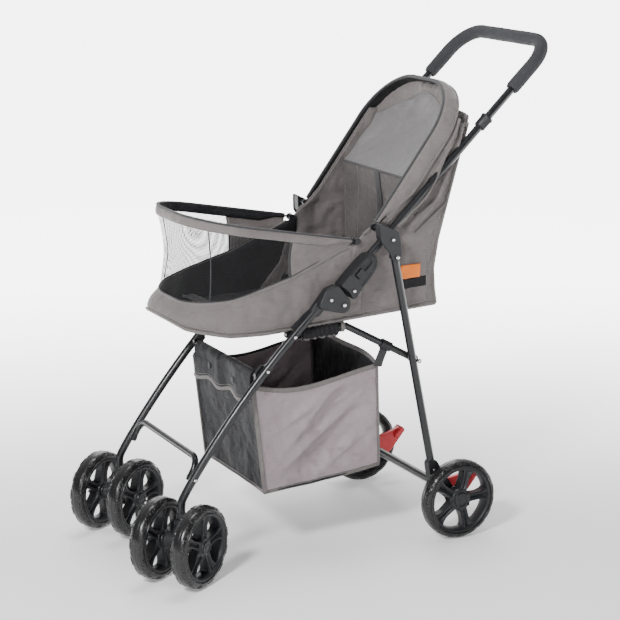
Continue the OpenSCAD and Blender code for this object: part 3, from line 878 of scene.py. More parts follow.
backs = []
for side, sign in SIDES:
    P = side_panel(sign)
    o = grid("side_panel_" + side, P, "taupe", None, 0.0016)
    backs.append(o)
    lin = grid("side_lining_" + side, P - np.array([sign * 0.0022, 0, 0]), "taupe", None, 0.0009)
    backs.append(lin)
    if sign > 0:
        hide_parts("cabin_back")
    nrm = np.array([sign, 0.0, 0.0])
    # rear corner piping and the sewn fold line in front of it
    edge = np.array([(sign * (HALF + 0.0015), y_rear(z) + 0.0005, z)
                     for z in np.linspace(0.4525, 0.79, 60)])
    backs.append(tape("corner_piping_" + side, edge, [sign, 1, 0], 0.0055, 0.0045, "tape_t"))
    line = P[2:56, 37] + nrm * 0.0012
    backs.append(tape("panel_seam_" + side, line, nrm, 0.0042, 0.0022, "tape_t"))
    backs.append(stitches("panel_stitching_" + side, P[2:56, 36] + nrm * 0.0010, nrm, "thread_t", None))
    low_e = P[0, 4:, :] + nrm * 0.0012 + np.array([0, 0, 0.0035])
    backs.append(stitches("low_stitching_" + side, low_e, nrm, "thread_t", None))
    # front edge along the hoop line
    fore = P[27:, 0] + nrm * 0.0010
    backs.append(tape("fore_binding_" + side, fore, nrm, 0.006, 0.0030, "tape_t"))
    # two small eyelets
    for k, (y, z) in enumerate(((0.224, 0.719), (0.150, 0.635))):
        i, j = (int(round(q)) for q in cell(y, z))
        c = P[min(i, BACK_ROWS), max(0, min(j, BACK_COLS))] + nrm * 0.0012
        backs.append(lathe("eyelet_%s_%d" % (side, k), c, nrm,
                           [(0.0, 0.0022), (0.0012, 0.0024), (0.0016, 0.0034), (0.0012, 0.0046),
                            (0.0, 0.0050)],
                           "cap", None, 24))

# rear panel with its sewn pocket
PRr = []
for s in np.linspace(0, 1, 49):
    z = 0.4525 + (0.7985 - 0.4525) * s
    row = []
    for k in np.linspace(-1, 1, 33):
        x = k * (HALF + 0.0006)
        belly = (0.008 + 0.017 * s) * (1 - abs(k) ** 2.4)
        y = y_rear(min(z, 0.79)) + belly + wobble((x, z, 0.3), 0.0030, 16, 4) * (1 - k * k)
        row.append((x, y, z))
    PRr.append(row)
PRr = np.array(PRr)
rear_panel = grid("rear_panel", PRr, "taupe", None, 0.0016)
backs.append(rear_panel)
rear_lining = grid("rear_lining", PRr - np.array([0, 0.0025, 0]), "slub", None, 0.0010)
backs.append(rear_lining)
backs.append(tape("rear_top_binding", PRr[-1] + np.array([0, 0, 0.001]), [0, 1, 0], 0.0085, 0.0040,
                  "tape_t"))
pocket = PRr[14:40, 5:28] + np.array([0, 0.0045, 0])
pocket[1:-1, 1:-1] += np.array([0, 0.0025, 0])
backs.append(grid("rear_pocket", pocket, "taupe", None, 0.0014))
backs.append(tape("pocket_binding", pocket[-1] + np.array([0, 0.001, 0]), [0, 1, 0], 0.009, 0.0034,
                  "tape_t"))
for k, P in enumerate((pocket[:, 0], pocket[:, -1], pocket[0, :])):
    backs.append(stitches("pocket_stitching_%d" % k, P + np.array([0, 0.0012, 0]), [0, 1, 0], "thread_t",
                          None))
# black tape up the inside of the rear panel
mid = PRr[3:38, 16] + np.array([0.0, -0.0040, 0])
backs.append(tape("back_tape", mid, [0, -1, 0], 0.018, 0.0016, "tape_b"))
# plain woven patch on the left side, with a dark one under it
LP = side_panel(1)


def patch(name, y0, y1, z0, z1, slant, mat, lift):
    P = []
    for z in np.linspace(z0, z1, 9):
        row = []
        for y in np.linspace(y0, y1, 13):
            zz = z + slant * (y - y0)
            i, j = (int(q) for q in cell(y, zz))
            x = max(LP[min(i + 1, BACK_ROWS), min(j + 1, BACK_COLS)][0], LP[i, j][0])
            row.append((x + lift, y, zz))
        P.append(row)
    return grid(name, P, mat, None, 0.0009)


backs.append(patch("label_dark", 0.119, 0.174, 0.486, 0.505, 0.06, "black", 0.0012))
backs.append(patch("label_plain", 0.118, 0.160, 0.507, 0.533, 0.0, "orange", 0.0018))
for o in backs:
    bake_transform(o)

# ---------------------------------------------------------------- hood: band, lining and outer cover

H_ANG = math.radians(53)
H_P = np.array([0.060, 0.612])
h_along = np.array([0.0, math.cos(H_ANG), math.sin(H_ANG)])
h_back = np.array([0.0, math.sin(H_ANG), -math.cos(H_ANG)])


def hood_at(x, s, d):
    return np.array([x, H_P[0], H_P[1]]) + h_along * s + h_back * d


def hood_half(s):
    h, top, c = 0.1365, 0.308, 0.105
    if s <= top - c:
        return h
    return h - c + math.sqrt(max(0.0, c * c - (s - top + c) ** 2))


NH = 161
hood_u = hoop_points((0.060, 0.612), 53, 0.1365, 0.308, 0.105, NH, 0.010)
hs = (hood_u - np.array([0, H_P[0], H_P[1]])) @ h_along
T = np.gradient(hood_u, axis=0)
hood_n = np.cross(T, h_back[None, :])
hood_n /= np.linalg.norm(hood_n, axis=1)[:, None]
if hood_n[0][0] < 0:
    hood_n = -hood_n
deep = 0.030 * np.clip(hs / 0.09, 0.22, 1.0)
band_o, band_i = [], []
for k in range(9):
    v = k / 8.0
    crown = 0.0035 * math.sin(PI * v) + 0.0018
    q = hood_u + h_back[None, :] * (deep * v - 0.003)[:, None]
    flare = 0.0075 * v * np.clip(hs / 0.12, 0, 1)
    band_o.append(q + hood_n * (crown + flare)[:, None])
    band_i.append(q + hood_n * (flare - 0.0024)[:, None])
hood_band = grid("hood_band", np.array(band_o).transpose(1, 0, 2), "taupe", "hood", 0.0011)
hood_band_in = grid("hood_band_lining", np.array(band_i).transpose(1, 0, 2), "black", "hood", 0.0011)
tape("hood_front_piping", hood_u - h_back * 0.0034, -h_back, 0.0062, 0.0042, "tape_b", "hood")
rear_edge = np.array(band_o)[8] + hood_n * 0.0006
tape("hood_rear_piping", rear_edge[4:-4], hood_n[4:-4], 0.0042, 0.0034, "tape_t", "hood")
for k, v in enumerate((1, 7)):
    stitches("hood_stitching_%d" % k, np.array(band_o)[v][6:-6] + hood_n[6:-6] * 0.0008, hood_n[6:-6],
             "thread_t", "hood")

# dished lining: smooth panel with a gathered strip at the top, joined to the back
BACK_S = 0.168


def reach_up(s):
    """How far a row near the top of the hood is drawn into the band, from 0 to 1."""
    return min(1.0, max(0.0, (s - 0.285) / 0.022)) ** 2


def dish(xi, s, extra=0.0):
    h = hood_half(s) + 0.0040
    rise = max(0.0, min(1.0, (0.300 - s) / (0.300 - BACK_S)))
    d = 0.025 + (0.058 * rise**0.8 + 0.004) * (1 - abs(xi) ** 2.6)
    gather = 0.0
    if s > 0.262:
        g = min(1.0, (s - 0.262) / 0.014)
        gather = 0.0022 * g * math.sin(xi * h * 460) * (0.6 + 0.4 * math.sin(xi * h * 171))
    x = xi * h
    up = reach_up(s)
    return hood_at(x, s + 0.0075 * up, d - 0.0110 * up + extra + gather * (1 - up))


LOW_S = 0.112
TOP_S = 0.3074


def gather_line(xi):
    return 0.291 - 0.074 * abs(xi) ** 2.2


def panel(xi, s):
    """The smooth inner panel of the hood, and the gathered strip over it."""
    h = hood_half(s) + 0.0040
    up = (s - LOW_S) / (TOP_S - LOW_S)
    d = 0.0185 + 0.030 * math.sin(PI * min(1.0, up * 1.05)) ** 0.9 * (1 - abs(xi) ** 2.2)
    over = s - gather_line(xi)
    if over > 0:
        g = min(1.0, over / 0.010)
        d += (0.0016 * g * math.sin(xi * h * 520 + 2.0 * math.sin(xi * 9))
              * (0.55 + 0.45 * math.sin(xi * h * 173)))
    q = hood_at(xi * h, s + 0.0060 * reach_up(s), d)
    soft = wobble((q[0], q[1], q[2]), 0.0042, 12, 1) + 0.0016 * math.sin(q[0] * 46 + s * 60)
    return q + h_back * soft * (1 - xi * xi) * min(1.0, up * 6) * min(1.0, (1 - up) * 8)


D = np.array([[panel(xi, LOW_S + (gather_line(xi) - LOW_S) * v) for xi in np.linspace(-1, 1, 81)]
              for v in np.linspace(0, 1, 49)])
hood_lining = grid("hood_lining", D, "grey", None, 0.0011)
G = np.array([[panel(xi, gather_line(xi) + (TOP_S - gather_line(xi)) * v)
               for xi in np.linspace(-1, 1, 161)] for v in np.linspace(0, 1, 21)])
hood_gather = grid("hood_gather", G, "taupe", None, 0.0011)
t1 = tape("hood_gather_seam", D[-1] - h_back * 0.0008, -h_back, 0.0030, 0.0018, "tape_t")
t2 = tape("hood_low_seam", D[0] - h_back * 0.0014, -h_back, 0.0040, 0.0022, "tape_b")
outer_rows = []
for s in np.linspace(BACK_S - 0.004, TOP_S, 53):
    row = []
    for xi in np.linspace(-1, 1, 71):
        q = dish(xi, s, 0.0055)
        w = wobble((q[0], q[1], q[2]), 0.005, 20, 8) + wobble((q[0], q[1], q[2]), 0.0018, 55, 2)
        row.append(q + h_back * (w * (1 - abs(xi) ** 4) * (1 - reach_up(s)) + 0.0012))
    outer_rows.append(row)
hood_cover = grid("hood_cover", np.array(outer_rows), "taupe", None, 0.0014)
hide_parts("hood_fabric")

# side cloth between the band and the back panel, with soft folds
hood_bits = [hood_cover]
for side, sign in SIDES:
    P = []
    for s in np.linspace(0.015, 0.262, 45):
        row = []
        a = hood_at(sign * (hood_half(s) + 0.0062), s, 0.026 * min(1, s / 0.09) + 0.001)
        z = a[2] - 0.018
        zc = min(z, 0.786)
        b = np.array([sign * (HALF + 0.0042), min(y_rear(zc) - 0.006, a[1] + 0.075), z - 0.010])
        for w in np.linspace(0, 1, 23):
            q = a * (1 - w) + b * w
            pleat = ((0.0115 * crease(17 * w + 7 * s) + 0.0055 * crease(37 * w - 9 * s + 1))
                     * math.sin(PI * w) ** 0.7)
            pleat += wobble(q, 0.0050, 30, 6) * math.sin(PI * w)
            q[0] += sign * (pleat + 0.0052 * math.sin(PI * w))
            row.append(q)
        P.append(row)
    P = np.array(P)
    hood_bits.append(grid("hood_side_" + side, P, "taupe", None, 0.0014))
    nrm = np.array([sign, 0.0, 0.0])
    hood_bits.append(tape("hood_side_seam_" + side, P[:, -1] + nrm * 0.0012, nrm, 0.0050, 0.0026, "tape_t"))
for o in hood_bits:
    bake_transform(o)
for o in (hood_lining, hood_gather, t1, t2):
    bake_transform(o)
# inner back wall, hung from the low seam of the hood's inner panel
low = D[0, 3:-3]
W_ = []
for v in np.linspace(0, 1, 41):
    row = []
    for i, q in enumerate(low):
        k = q[0] / 0.13
        z = q[2] * (1 - v) + 0.484 * v
        y = q[1] * (1 - v) + 0.140 * v + 0.0022
        soft = math.sin(PI * v) * (1 - k * k)
        y += soft * (0.010 + wobble((q[0], z, 0.8), 0.0075, 13, 4) + 0.0022 * math.sin(q[0] * 70 + z * 30))
        row.append((q[0] * (1 - v) + k * (HALF - 0.006) * v, y, z))
    W_.append(row)
W_ = np.array(W_)
wall = [grid("inner_back", W_, "slub", None, 0.0011)]
mid_col = W_.shape[1] // 2
wall.append(tape("inner_back_tape", W_[:, mid_col] - np.array([0, 0.0022, 0]), [0, -1, 0], 0.021, 0.0016,
                 "tape_b"))
for k, i in enumerate((14, W_.shape[1] - 15)):
    wall.append(stitches("inner_back_stitching_%d" % k, W_[:, i] - np.array([0, 0.0012, 0]), [0, -1, 0],
                         "thread_t", None))
for o in wall:
    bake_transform(o)

# ---------------------------------------------------------------- basket

BX = 0.1315
BF = [(-0.1865, 0.336), (-0.1645, 0.1325)]
BR = [(0.0715, 0.345), (0.0765, 0.1505)]


def lerp(a, b, t):
    return tuple(a[i] * (1 - t) + b[i] * t for i in range(len(a)))


def sag(t):
    return 0.017 * math.sin(PI * t) + 0.004 * math.sin(2 * PI * t)


def basket_side(sign):
    P = []
    for s in np.linspace(0, 1, 49):
        row = []
        for t in np.linspace(0, 1, 61):
            top = lerp(BF[0], BR[0], t)
            bot = lerp(BF[1], BR[1], t)
            zt = top[1] - sag(t)
            y = bot[0] * (1 - s) + top[0] * s
            z = bot[1] * (1 - s) + zt * s - 0.004 * math.sin(PI * t) * (1 - s)
            # long diagonal drag folds from the rear top corner, deepest in the middle
            w = math.sin(PI * t) * math.sin(PI * min(1, s * 0.9 + 0.08))
            fold = 0.0150 * crease(9.5 * (t * 0.8 - s * 0.62) + 0.6) * w
            fold += 0.0085 * crease(21 * (t * 0.62 - s * 0.78) + 1.1) * w
            fold += 0.0030 * crease(43 * (t * 0.5 - s * 0.85)) * w * t
            fold += wobble((0.3 + 0.2 * sign, y * 1.3 - z, z), 0.0045, 13, 3) * w
            fold += wobble((0.3, y, z), 0.0012, 50, 9) * w
            row.append((sign * (BX + fold - 0.013 * w), y, z))
        P.append(row)
    return np.array(P)


basket = []
for side, sign in SIDES:
    P = basket_side(sign)
    o = grid("basket_side_" + side, P, "nylon" if sign > 0 else "taupe", None, 0.0012)
    basket.append(o)
    if sign > 0:
        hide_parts("basket")
    # both linings take the lighter nylon colour; on the far (right) side this is painted light, a lift in colour
    # standing in for light shining into its shaded inside
    basket.append(grid("basket_lining_" + side, P[1:, 1:-1] - np.array([sign * 0.0016, 0, 0]), "nylon",
                       None, 0.0007))
    nrm = np.array([sign, 0.0, 0.0])
    basket.append(tape("basket_rim_" + side, P[-1] + np.array([0, 0, 0.0006]), nrm, 0.0095, 0.0034,
                       "tape_t" if sign > 0 else "tape_b"))
    basket.append(tape("basket_hem_" + side, P[0] + np.array([0, 0, 0.001]), nrm, 0.0075, 0.0034, "tape_t"))
    basket.append(tape("basket_front_edge_" + side, P[:, 0] + nrm * 0.0004, [sign, -1, 0], 0.0085, 0.0036,
                       "tape_t"))
    basket.append(tape("basket_rear_edge_" + side, P[:, -1] + nrm * 0.0004, [sign, 1, 0], 0.0085, 0.0036,
                       "tape_t"))
    basket.append(stitches("basket_rim_stitching_" + side, P[-1] + nrm * 0.0021 - np.array([0, 0, 0.0035]),
                           nrm, "thread_t", None))
    basket.append(stitches("basket_edge_stitching_" + side, P[:, 1] + nrm * 0.0012, nrm, "thread_t", None))

FP, RP = [], []
for s in np.linspace(0, 1, 41):
    f, r = [], []
    for k in np.linspace(-1, 1, 49):
        w = (1 - k * k) * math.sin(PI * min(1.0, s * 0.85 + 0.1))
        zt = 0.336 - 0.004 * (1 - k * k)
        zb = BF[1][1]
        yy = BF[1][0] * (1 - s) + BF[0][0] * s
        f.append((k * BX, yy + 0.010 * w + wobble((k * BX, 0.5, s * 0.2), 0.004, 18, 2) * w,
                  zb * (1 - s) + zt * s))
        zt2 = 0.345 + 0.024 * (1 - k**4) - 0.010 * (1 - k * k)
        y2 = BR[1][0] * (1 - s) + BR[0][0] * s
        r.append((k * BX, y2 - 0.012 * w + wobble((k * BX, 0.9, s * 0.2), 0.006, 18, 5) * w,
                  BR[1][1] * (1 - s) + zt2 * s))
    FP.append(f)
    RP.append(r)
FP, RP = np.array(FP), np.array(RP)
basket.append(grid("basket_front", FP, "charcoal", None, 0.0014))
basket.append(grid("basket_rear", RP, "charcoal", None, 0.0014))
basket.append(tape("basket_rear_rim", RP[-1] + np.array([0, 0, 0.0006]), [0, 1, 0], 0.0095, 0.0034,
                   "tape_t"))
basket.append(tape("basket_front_rim", FP[-1] + np.array([0, 0, 0.0006]), [0, 1, 0], 0.0085, 0.0034,
                   "tape_b"))
BB = []
for t in np.linspace(0, 1, 41):
    row = []
    f, r = BF[1], BR[1]
    for k in np.linspace(-1, 1, 25):
        y, z = lerp(f, r, t)
        row.append((k * BX, y, z - 0.004 * math.sin(PI * t) + 0.001 + wobble((k * BX, y, 0), 0.0015, 20)
                    * (1 - k * k)))
    BB.append(row)
basket.append(grid("basket_base", np.array(BB), "charcoal", None, 0.0016))
basket.append(tape("basket_front_hem", FP[0] + np.array([0, 0, 0.0004]), [0, -1, 0], 0.0075, 0.0034,
                   "tape_t"))
basket.append(tape("basket_rear_hem", RP[0] + np.array([0, 0, 0.0004]), [0, 1, 0], 0.0075, 0.0034,
                   "tape_t"))
for o in basket:
    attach(o, "front_frame")
    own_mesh(o)

# flap over the upper crossbar, with two snaps and a scalloped binding
CB = np.array([-0.178, 0.358])
WRAP_R = 0.0078  # the cloth's radius round the bar
WRAP_FROM = math.radians(-60)
FL = []
for t in np.linspace(-1, 1, 81):
    row = []
    length = 0.028 + 0.0042 * math.cos(t * PI * 2.6 + 0.8) - 0.003 * t
    for v in np.linspace(0, 1, 21):
        d = v * (0.019 * 0.75 * PI + length)
        a = WRAP_FROM + d / WRAP_R
        if a > PI / 2:
            y = CB[0] - WRAP_R
            z = CB[1] - (a - PI / 2) * WRAP_R
        else:
            y, z = CB[0] - WRAP_R * math.sin(a), CB[1] + WRAP_R * math.cos(a)
        hang = CB[1] - z
        if hang > 0:
            swing = 0.006 * min(1.0, hang / 0.05) * (0.5 + 0.5 * math.cos(t * PI * 2.6 + 0.8)) * 0.6
            y += -0.0016 - swing + wobble((t * 0.12, hang, 0), 0.0030, 22)
        row.append((t * 0.122, y, z))
    FL.append(row)
FL = np.array(FL)
grid("crossbar_flap", FL, "charcoal", "front_frame", 0.0014)
tape("flap_binding", FL[:, -1], [0, -1, 0.1], 0.0075, 0.0034, "tape_t", "front_frame")
stitches("flap_stitching", FL[:, -3] + np.array([0, -0.0010, 0]), [0, -1, 0], "thread_t", "front_frame")
for k, i in enumerate((22, 58)):
    lathe("flap_snap_%d" % k, FL[i, 13] + np.array([0, -0.0008, 0]), (0, -1, 0),
          [(0, 0.0062), (0.0014, 0.0062), (0.0022, 0.0050), (0.0016, 0.0036), (0.0024, 0.0022),
           (0.0027, 0.0004)],
          "cap", "front_frame", 28)

# ---------------------------------------------------------------- wheels


TYRE_HALF = 0.0157  # half the tyre's width


def wheel(tag, R, rin, cap_r, screw_r, pads):
    j = JOINTS[tag + "_spin"]
    body = j["child"]
    c = np.array(j["pos_m"], float)
    a = np.array(j["axis"], float)
    a /= np.linalg.norm(a)
    u = np.array([0.0, 0.0, 1.0])
    v = np.cross(a, u)
    turn = 0.35 + 0.9 * abs(c[0]) + 2.0 * c[1]

    def at(x, r, t):
        return c + a * x + (u * math.cos(t) + v * math.sin(t)) * r

    rm = R - 0.0120

    def side_of(sx):
        return TYRE_HALF * math.copysign(abs(sx) ** 0.95, sx)

    def skin(phi, t, lift=0.0):
        """A point on the tyre's rounded outside: phi runs from one sidewall, over the tread, to the other."""
        sx, cx = math.sin(phi), math.cos(phi)
        x = side_of(sx)
        r = rm + (R - rm) * cx**0.80
        n = np.array([sx, cx * 1.15])
        n /= np.linalg.norm(n)
        return at(x + n[0] * lift, r + n[1] * lift, t)

    prof = [(-0.0132, rin - 0.0006), (-0.0148, rin + 0.0012), (-TYRE_HALF, rin + 0.0034)]
    for i in range(33):
        p = -0.5 * PI + PI * i / 32
        sx, cx = math.sin(p), max(0.0, math.cos(p))
        r = rm + (R - rm) * cx**0.80 if cx > 1e-6 else rm
        if abs(abs(p) - 0.21) < 0.05:
            r -= 0.0006
        prof.append((side_of(sx), r))
    prof += [(TYRE_HALF, rin + 0.0034), (0.0148, rin + 0.0012), (0.0132, rin - 0.0006)]
    tyre = lathe(tag + "_tyre", c, a, prof, "tyre", body, 112)
    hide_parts(tag.replace("wheel", "tyre"))
    # raised pattern: open ovals on the shoulders, short bars between them
    verts, faces, uv = [], [], []

    def raised(phi0, t0, hp, ht, lift, hollow, k=20):
        base = len(verts)
        rings = (((1.0, 0.0), (0.90, lift), (0.66, lift), (0.54, 0.0)) if hollow
                 else ((1.0, 0.0), (0.82, lift), (0.40, lift), (0.02, lift)))
        for scale, up in rings:
            for m in range(k):
                b = 2 * PI * m / k
                verts.append(skin(phi0 + hp * scale * math.sin(b), t0 + ht * scale * math.cos(b) / R, up))
                uv.append((t0 * R + ht * scale * math.cos(b), phi0 * 0.014))
        faces.extend(ring_faces(4, k, base))

    # the front tyres stand out more than the rear ones
    high = (0.0010, 0.0008, 0.0006) if "front" in tag else (0.0006, 0.0005, 0.0003)
    for sgn in (-1, 1):
        for i in range(pads):
            t0 = 2 * PI * i / pads
            raised(sgn * 0.88, t0, 0.36, 0.0105, high[0], True, 24)
            raised(sgn * 0.88, t0, 0.12, 0.0030, high[1], False, 12)
            raised(sgn * 0.60, t0 + PI / pads, 0.16, 0.0042, high[2], False, 14)
    put(tag + "_pattern", verts, faces, "tyre", body, uv, True)
    # rim: barrel with two lips
    rp = [(-0.0128, rin + 0.0004), (-0.0150, rin - 0.0006), (-0.0154, rin - 0.0028),
          (-0.0142, rin - 0.0050),
          (-0.0118, rin - 0.0060), (-0.0050, rin - 0.0078), (0.0, rin - 0.0080)]
    rp = rp + [(-x, r) for x, r in rp[::-1][1:]] + [(0.0100, rin + 0.0002), (-0.0100, rin + 0.0002)]
    rimo = lathe(tag + "_rim", c, a, rp, "wheel", body, 96, True)
    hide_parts(tag.replace("wheel", "rim"))
    # five spokes with a V groove on both faces
    verts, faces, uv = [], [], []
    stations = [(cap_r - 0.001, 0.0090, 0.0118, 0.0025), (cap_r + 0.010, 0.0078, 0.0112, 0.0050),
                (0.5 * (cap_r + rin), 0.0074, 0.0104, 0.0056), (rin - 0.013, 0.0100, 0.0112, 0.0056),
                (rin - 0.0055, 0.0150, 0.0125, 0.0040)]
    for i in range(5):
        t0 = turn + 2 * PI * i / 5
        base = len(verts)
        for r, w, h, g in stations:
            sec = [(-w, -h + 0.0035), (-w + 0.0012, -h), (-w * 0.62, -h), (0, -h + g), (w * 0.62, -h),
                   (w - 0.0012, -h), (w, -h + 0.0035),
                   (w, h - 0.0035), (w - 0.0012, h), (w * 0.62, h), (0, h - g), (-w * 0.62, h),
                   (-w + 0.0012, h), (-w, h - 0.0035)]
            for y, x in sec:
                rad = u * math.cos(t0) + v * math.sin(t0)
                tan = -u * math.sin(t0) + v * math.cos(t0)
                verts.append(c + a * x + rad * r + tan * y)
                uv.append((y, r))
        faces += ring_faces(len(stations), len(sec), base)
    sp = put(tag + "_spokes", verts, faces, "wheel", body, uv, False)
    bevel(sp, 0.0006, 2, 25)
    # hub, flanges and caps
    hub = [(-0.0128, 0.0), (-0.0128, cap_r + 0.0035), (-0.0118, cap_r + 0.0052), (-0.0070, cap_r + 0.0056),
           (-0.0060, cap_r + 0.0010),
           (0.0060, cap_r + 0.0010), (0.0070, cap_r + 0.0056), (0.0118, cap_r + 0.0052),
           (0.0128, cap_r + 0.0035), (0.0128, 0.0)]
    lathe(tag + "_hub", c, a, hub, "wheel", body, 60)
    for sgn, side in ((1, "a"), (-1, "b")):
        cap = [(0.0122, cap_r - 0.0006), (0.0150, cap_r - 0.0012), (0.0162, cap_r - 0.0026),
               (0.0160, cap_r - 0.0040),
               (0.0150, cap_r - 0.0048), (0.0156, cap_r * 0.45), (0.0160, 0.0)]
        lathe(tag + "_cap_" + side, c, a * sgn, cap, "cap", body, 48)
        verts, faces, uv = [], [], []
        for i in range(5):
            t0 = turn + 2 * PI * (i + 0.5) / 5
            cc = at(sgn * 0.0128, screw_r, t0)
            base = len(verts)
            for lift, r in ((0.0, 0.0022), (0.0012, 0.0021), (0.0016, 0.0015), (0.0010, 0.0009),
                            (0.0010, 0.0)):
                for k in range(10):
                    b = 2 * PI * k / 10
                    verts.append(cc + a * sgn * lift + (u * math.cos(b) + v * math.sin(b)) * r)
                    uv.append((r, b * 0.001))
            faces += ring_faces(5, 10, base)
        put(tag + "_screws_" + side, verts, faces, "cap", body, uv, True)


for side in ("left", "right"):
    for io in ("outer", "inner"):
        wheel("front_wheel_%s_%s" % (side, io), 0.0758, 0.0625, 0.0128, 0.0165, 13)
    wheel("rear_wheel_" + side, 0.0771, 0.0655, 0.0160, 0.0195, 18)

# casters: stem collar, fork housing and ribbed drum
for side, sign in SIDES:
    j = JOINTS["caster_%s_swivel" % side]
    w = JOINTS["front_wheel_%s_outer_spin" % side]
    wi = JOINTS["front_wheel_%s_inner_spin" % side]
    c = 0.5 * (np.array(w["pos_m"]) + np.array(wi["pos_m"]))
    a = np.array(w["axis"], float)
    body = j["child"]
    p = np.array([j["pos_m"][0], j["pos_m"][1], 0.0])
    half = 0.0240
    n = 11
    drum = [(-half, 0.0)]
    for i in range(n):
        x0 = -half + 2 * half * i / n
        x1 = x0 + 2 * half / n
        m = 1 - ((x0 + x1) / 2 / half) ** 2
        rr = 0.0165 + 0.0028 * m
        drum += [(x0 + 0.0004, rr - 0.0022), (x0 + 0.0009, rr), (x1 - 0.0009, rr),
                 (x1 - 0.0004, rr - 0.0022)]
    drum.append((half, 0.0))
    d = lathe("caster_drum_" + side, c, a, drum, "plastic", body, 56)
    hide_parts("caster_" + side)
    neck = [(0.070, 0.0), (0.072, 0.0175), (0.086, 0.0180), (0.098, 0.0152), (0.1075, 0.0128),
            (0.1088, 0.0136), (0.1125, 0.0136),
            (0.1136, 0.0122), (0.1168, 0.0118), (0.1174, 0.0)]
    lathe("caster_neck_" + side, p, (0, 0, 1), neck, "plastic", body, 48)
    lathe("caster_stem_" + side, p, (0, 0, 1),
          [(0.112, 0.0), (0.112, 0.0058), (0.142, 0.0058), (0.142, 0.0)], "zinc", body, 24)
    for sgn in (-1, 1):
        lathe("caster_washer_%s_%s" % (side, "a" if sgn > 0 else "b"), c + a * sgn * 0.0268, a * sgn,
              [(-0.003, 0.0), (-0.003, 0.0105), (0.0022, 0.0095), (0.0026, 0.0)], "cap", body, 32)

# ---------------------------------------------------------------- tubes, rivets and moulded pieces


def dome(name, p, axis, r, body, mat="zinc", h=0.35):
    r = r * 0.72
    prof = [(0.0, r * 0.98)]
    for i in range(1, 8):
        a = 0.5 * PI * i / 7
        prof.append((h * r * math.sin(a), r * math.cos(a)))
    return lathe(name, p, axis, [(-0.0006, r)] + prof, mat, body, 28)


leg_top = np.array([-0.036, 0.498])
bow_c = leg_top - 1.7 * np.array([-math.sin(math.radians(41)), math.cos(math.radians(41))])


def on_bow(s):
    s = math.radians(s)
    return bow_c + 1.7 * np.array([-math.sin(s), math.cos(s)])


def plate(name, pts, x0, x1, mat, body, w=0.0016, seg=3):
    """A moulded plate: an outline of (y, z) made solid along X, with rounded edges."""
    n = len(pts)
    verts = [(x0, y, z) for y, z in pts] + [(x1, y, z) for y, z in pts]
    faces = [tuple(range(n))[::-1], tuple(range(n, 2 * n))]
    for i in range(n):
        k = (i + 1) % n
        faces.append((i, k, n + k, n + i))
    area = sum(pts[i][0] * pts[(i + 1) % n][1] - pts[(i + 1) % n][0] * pts[i][1] for i in range(n))
    if (area > 0) != (x1 > x0):
        faces = [f[::-1] for f in faces]
    o = put(name, verts, faces, mat, body, [(v[1], v[2]) for v in verts], True)
    bevel(o, w, seg, 40)
    o.modifiers.new("wn", "WEIGHTED_NORMAL")
    return o


def rounded(pts, r=0.003, n=5):
    """Rounds the corners of an outline."""
    out = []
    m = len(pts)
    for i in range(m):
        p, a, b = np.array(pts[i]), np.array(pts[i - 1]), np.array(pts[(i + 1) % m])
        da, db = a - p, b - p
        la, lb = np.linalg.norm(da), np.linalg.norm(db)
        q = min(r, la * 0.45, lb * 0.45)
        s, e = p + da / la * q, p + db / lb * q
        for t in np.linspace(0, 1, n):
            out.append(tuple((1 - t) ** 2 * s + 2 * t * (1 - t) * p + t * t * e))
    return out


def hull_of(circles, n=40):
    """Outline round a set of (y, z, radius) circles."""
    out = []
    for i in range(n):
        a = 2 * PI * i / n
        d = np.array([math.cos(a), math.sin(a)])
        best = max(circles, key=lambda q: q[0] * d[0] + q[1] * d[1] + q[2])
        out.append((best[0] + d[0] * best[2], best[1] + d[1] * best[2]))
    clean = []
    for p in out:
        if not clean or math.dist(p, clean[-1]) > 1e-5:
            clean.append(p)
    return clean


CH, SH = math.cos(math.radians(43.4)), math.sin(math.radians(43.4))


def on_handle(s, t):
    return (-0.020 + s * CH - t * SH, 0.5015 + s * SH + t * CH)


def ray_out(c, ang, poly):
    d = np.array([math.cos(ang), math.sin(ang)])
    best = None
    m = len(poly)
    for i in range(m):
        p, q = np.array(poly[i]), np.array(poly[(i + 1) % m])
        e = q - p
        den = d[0] * e[1] - d[1] * e[0]
        if abs(den) < 1e-12:
            continue
        w = p - c
        t = (w[0] * e[1] - w[1] * e[0]) / den
        k = (w[0] * d[1] - w[1] * d[0]) / den
        if t > 0 and -1e-9 <= k <= 1 + 1e-9:
            best = t if best is None else max(best, t)
    return c + d * best


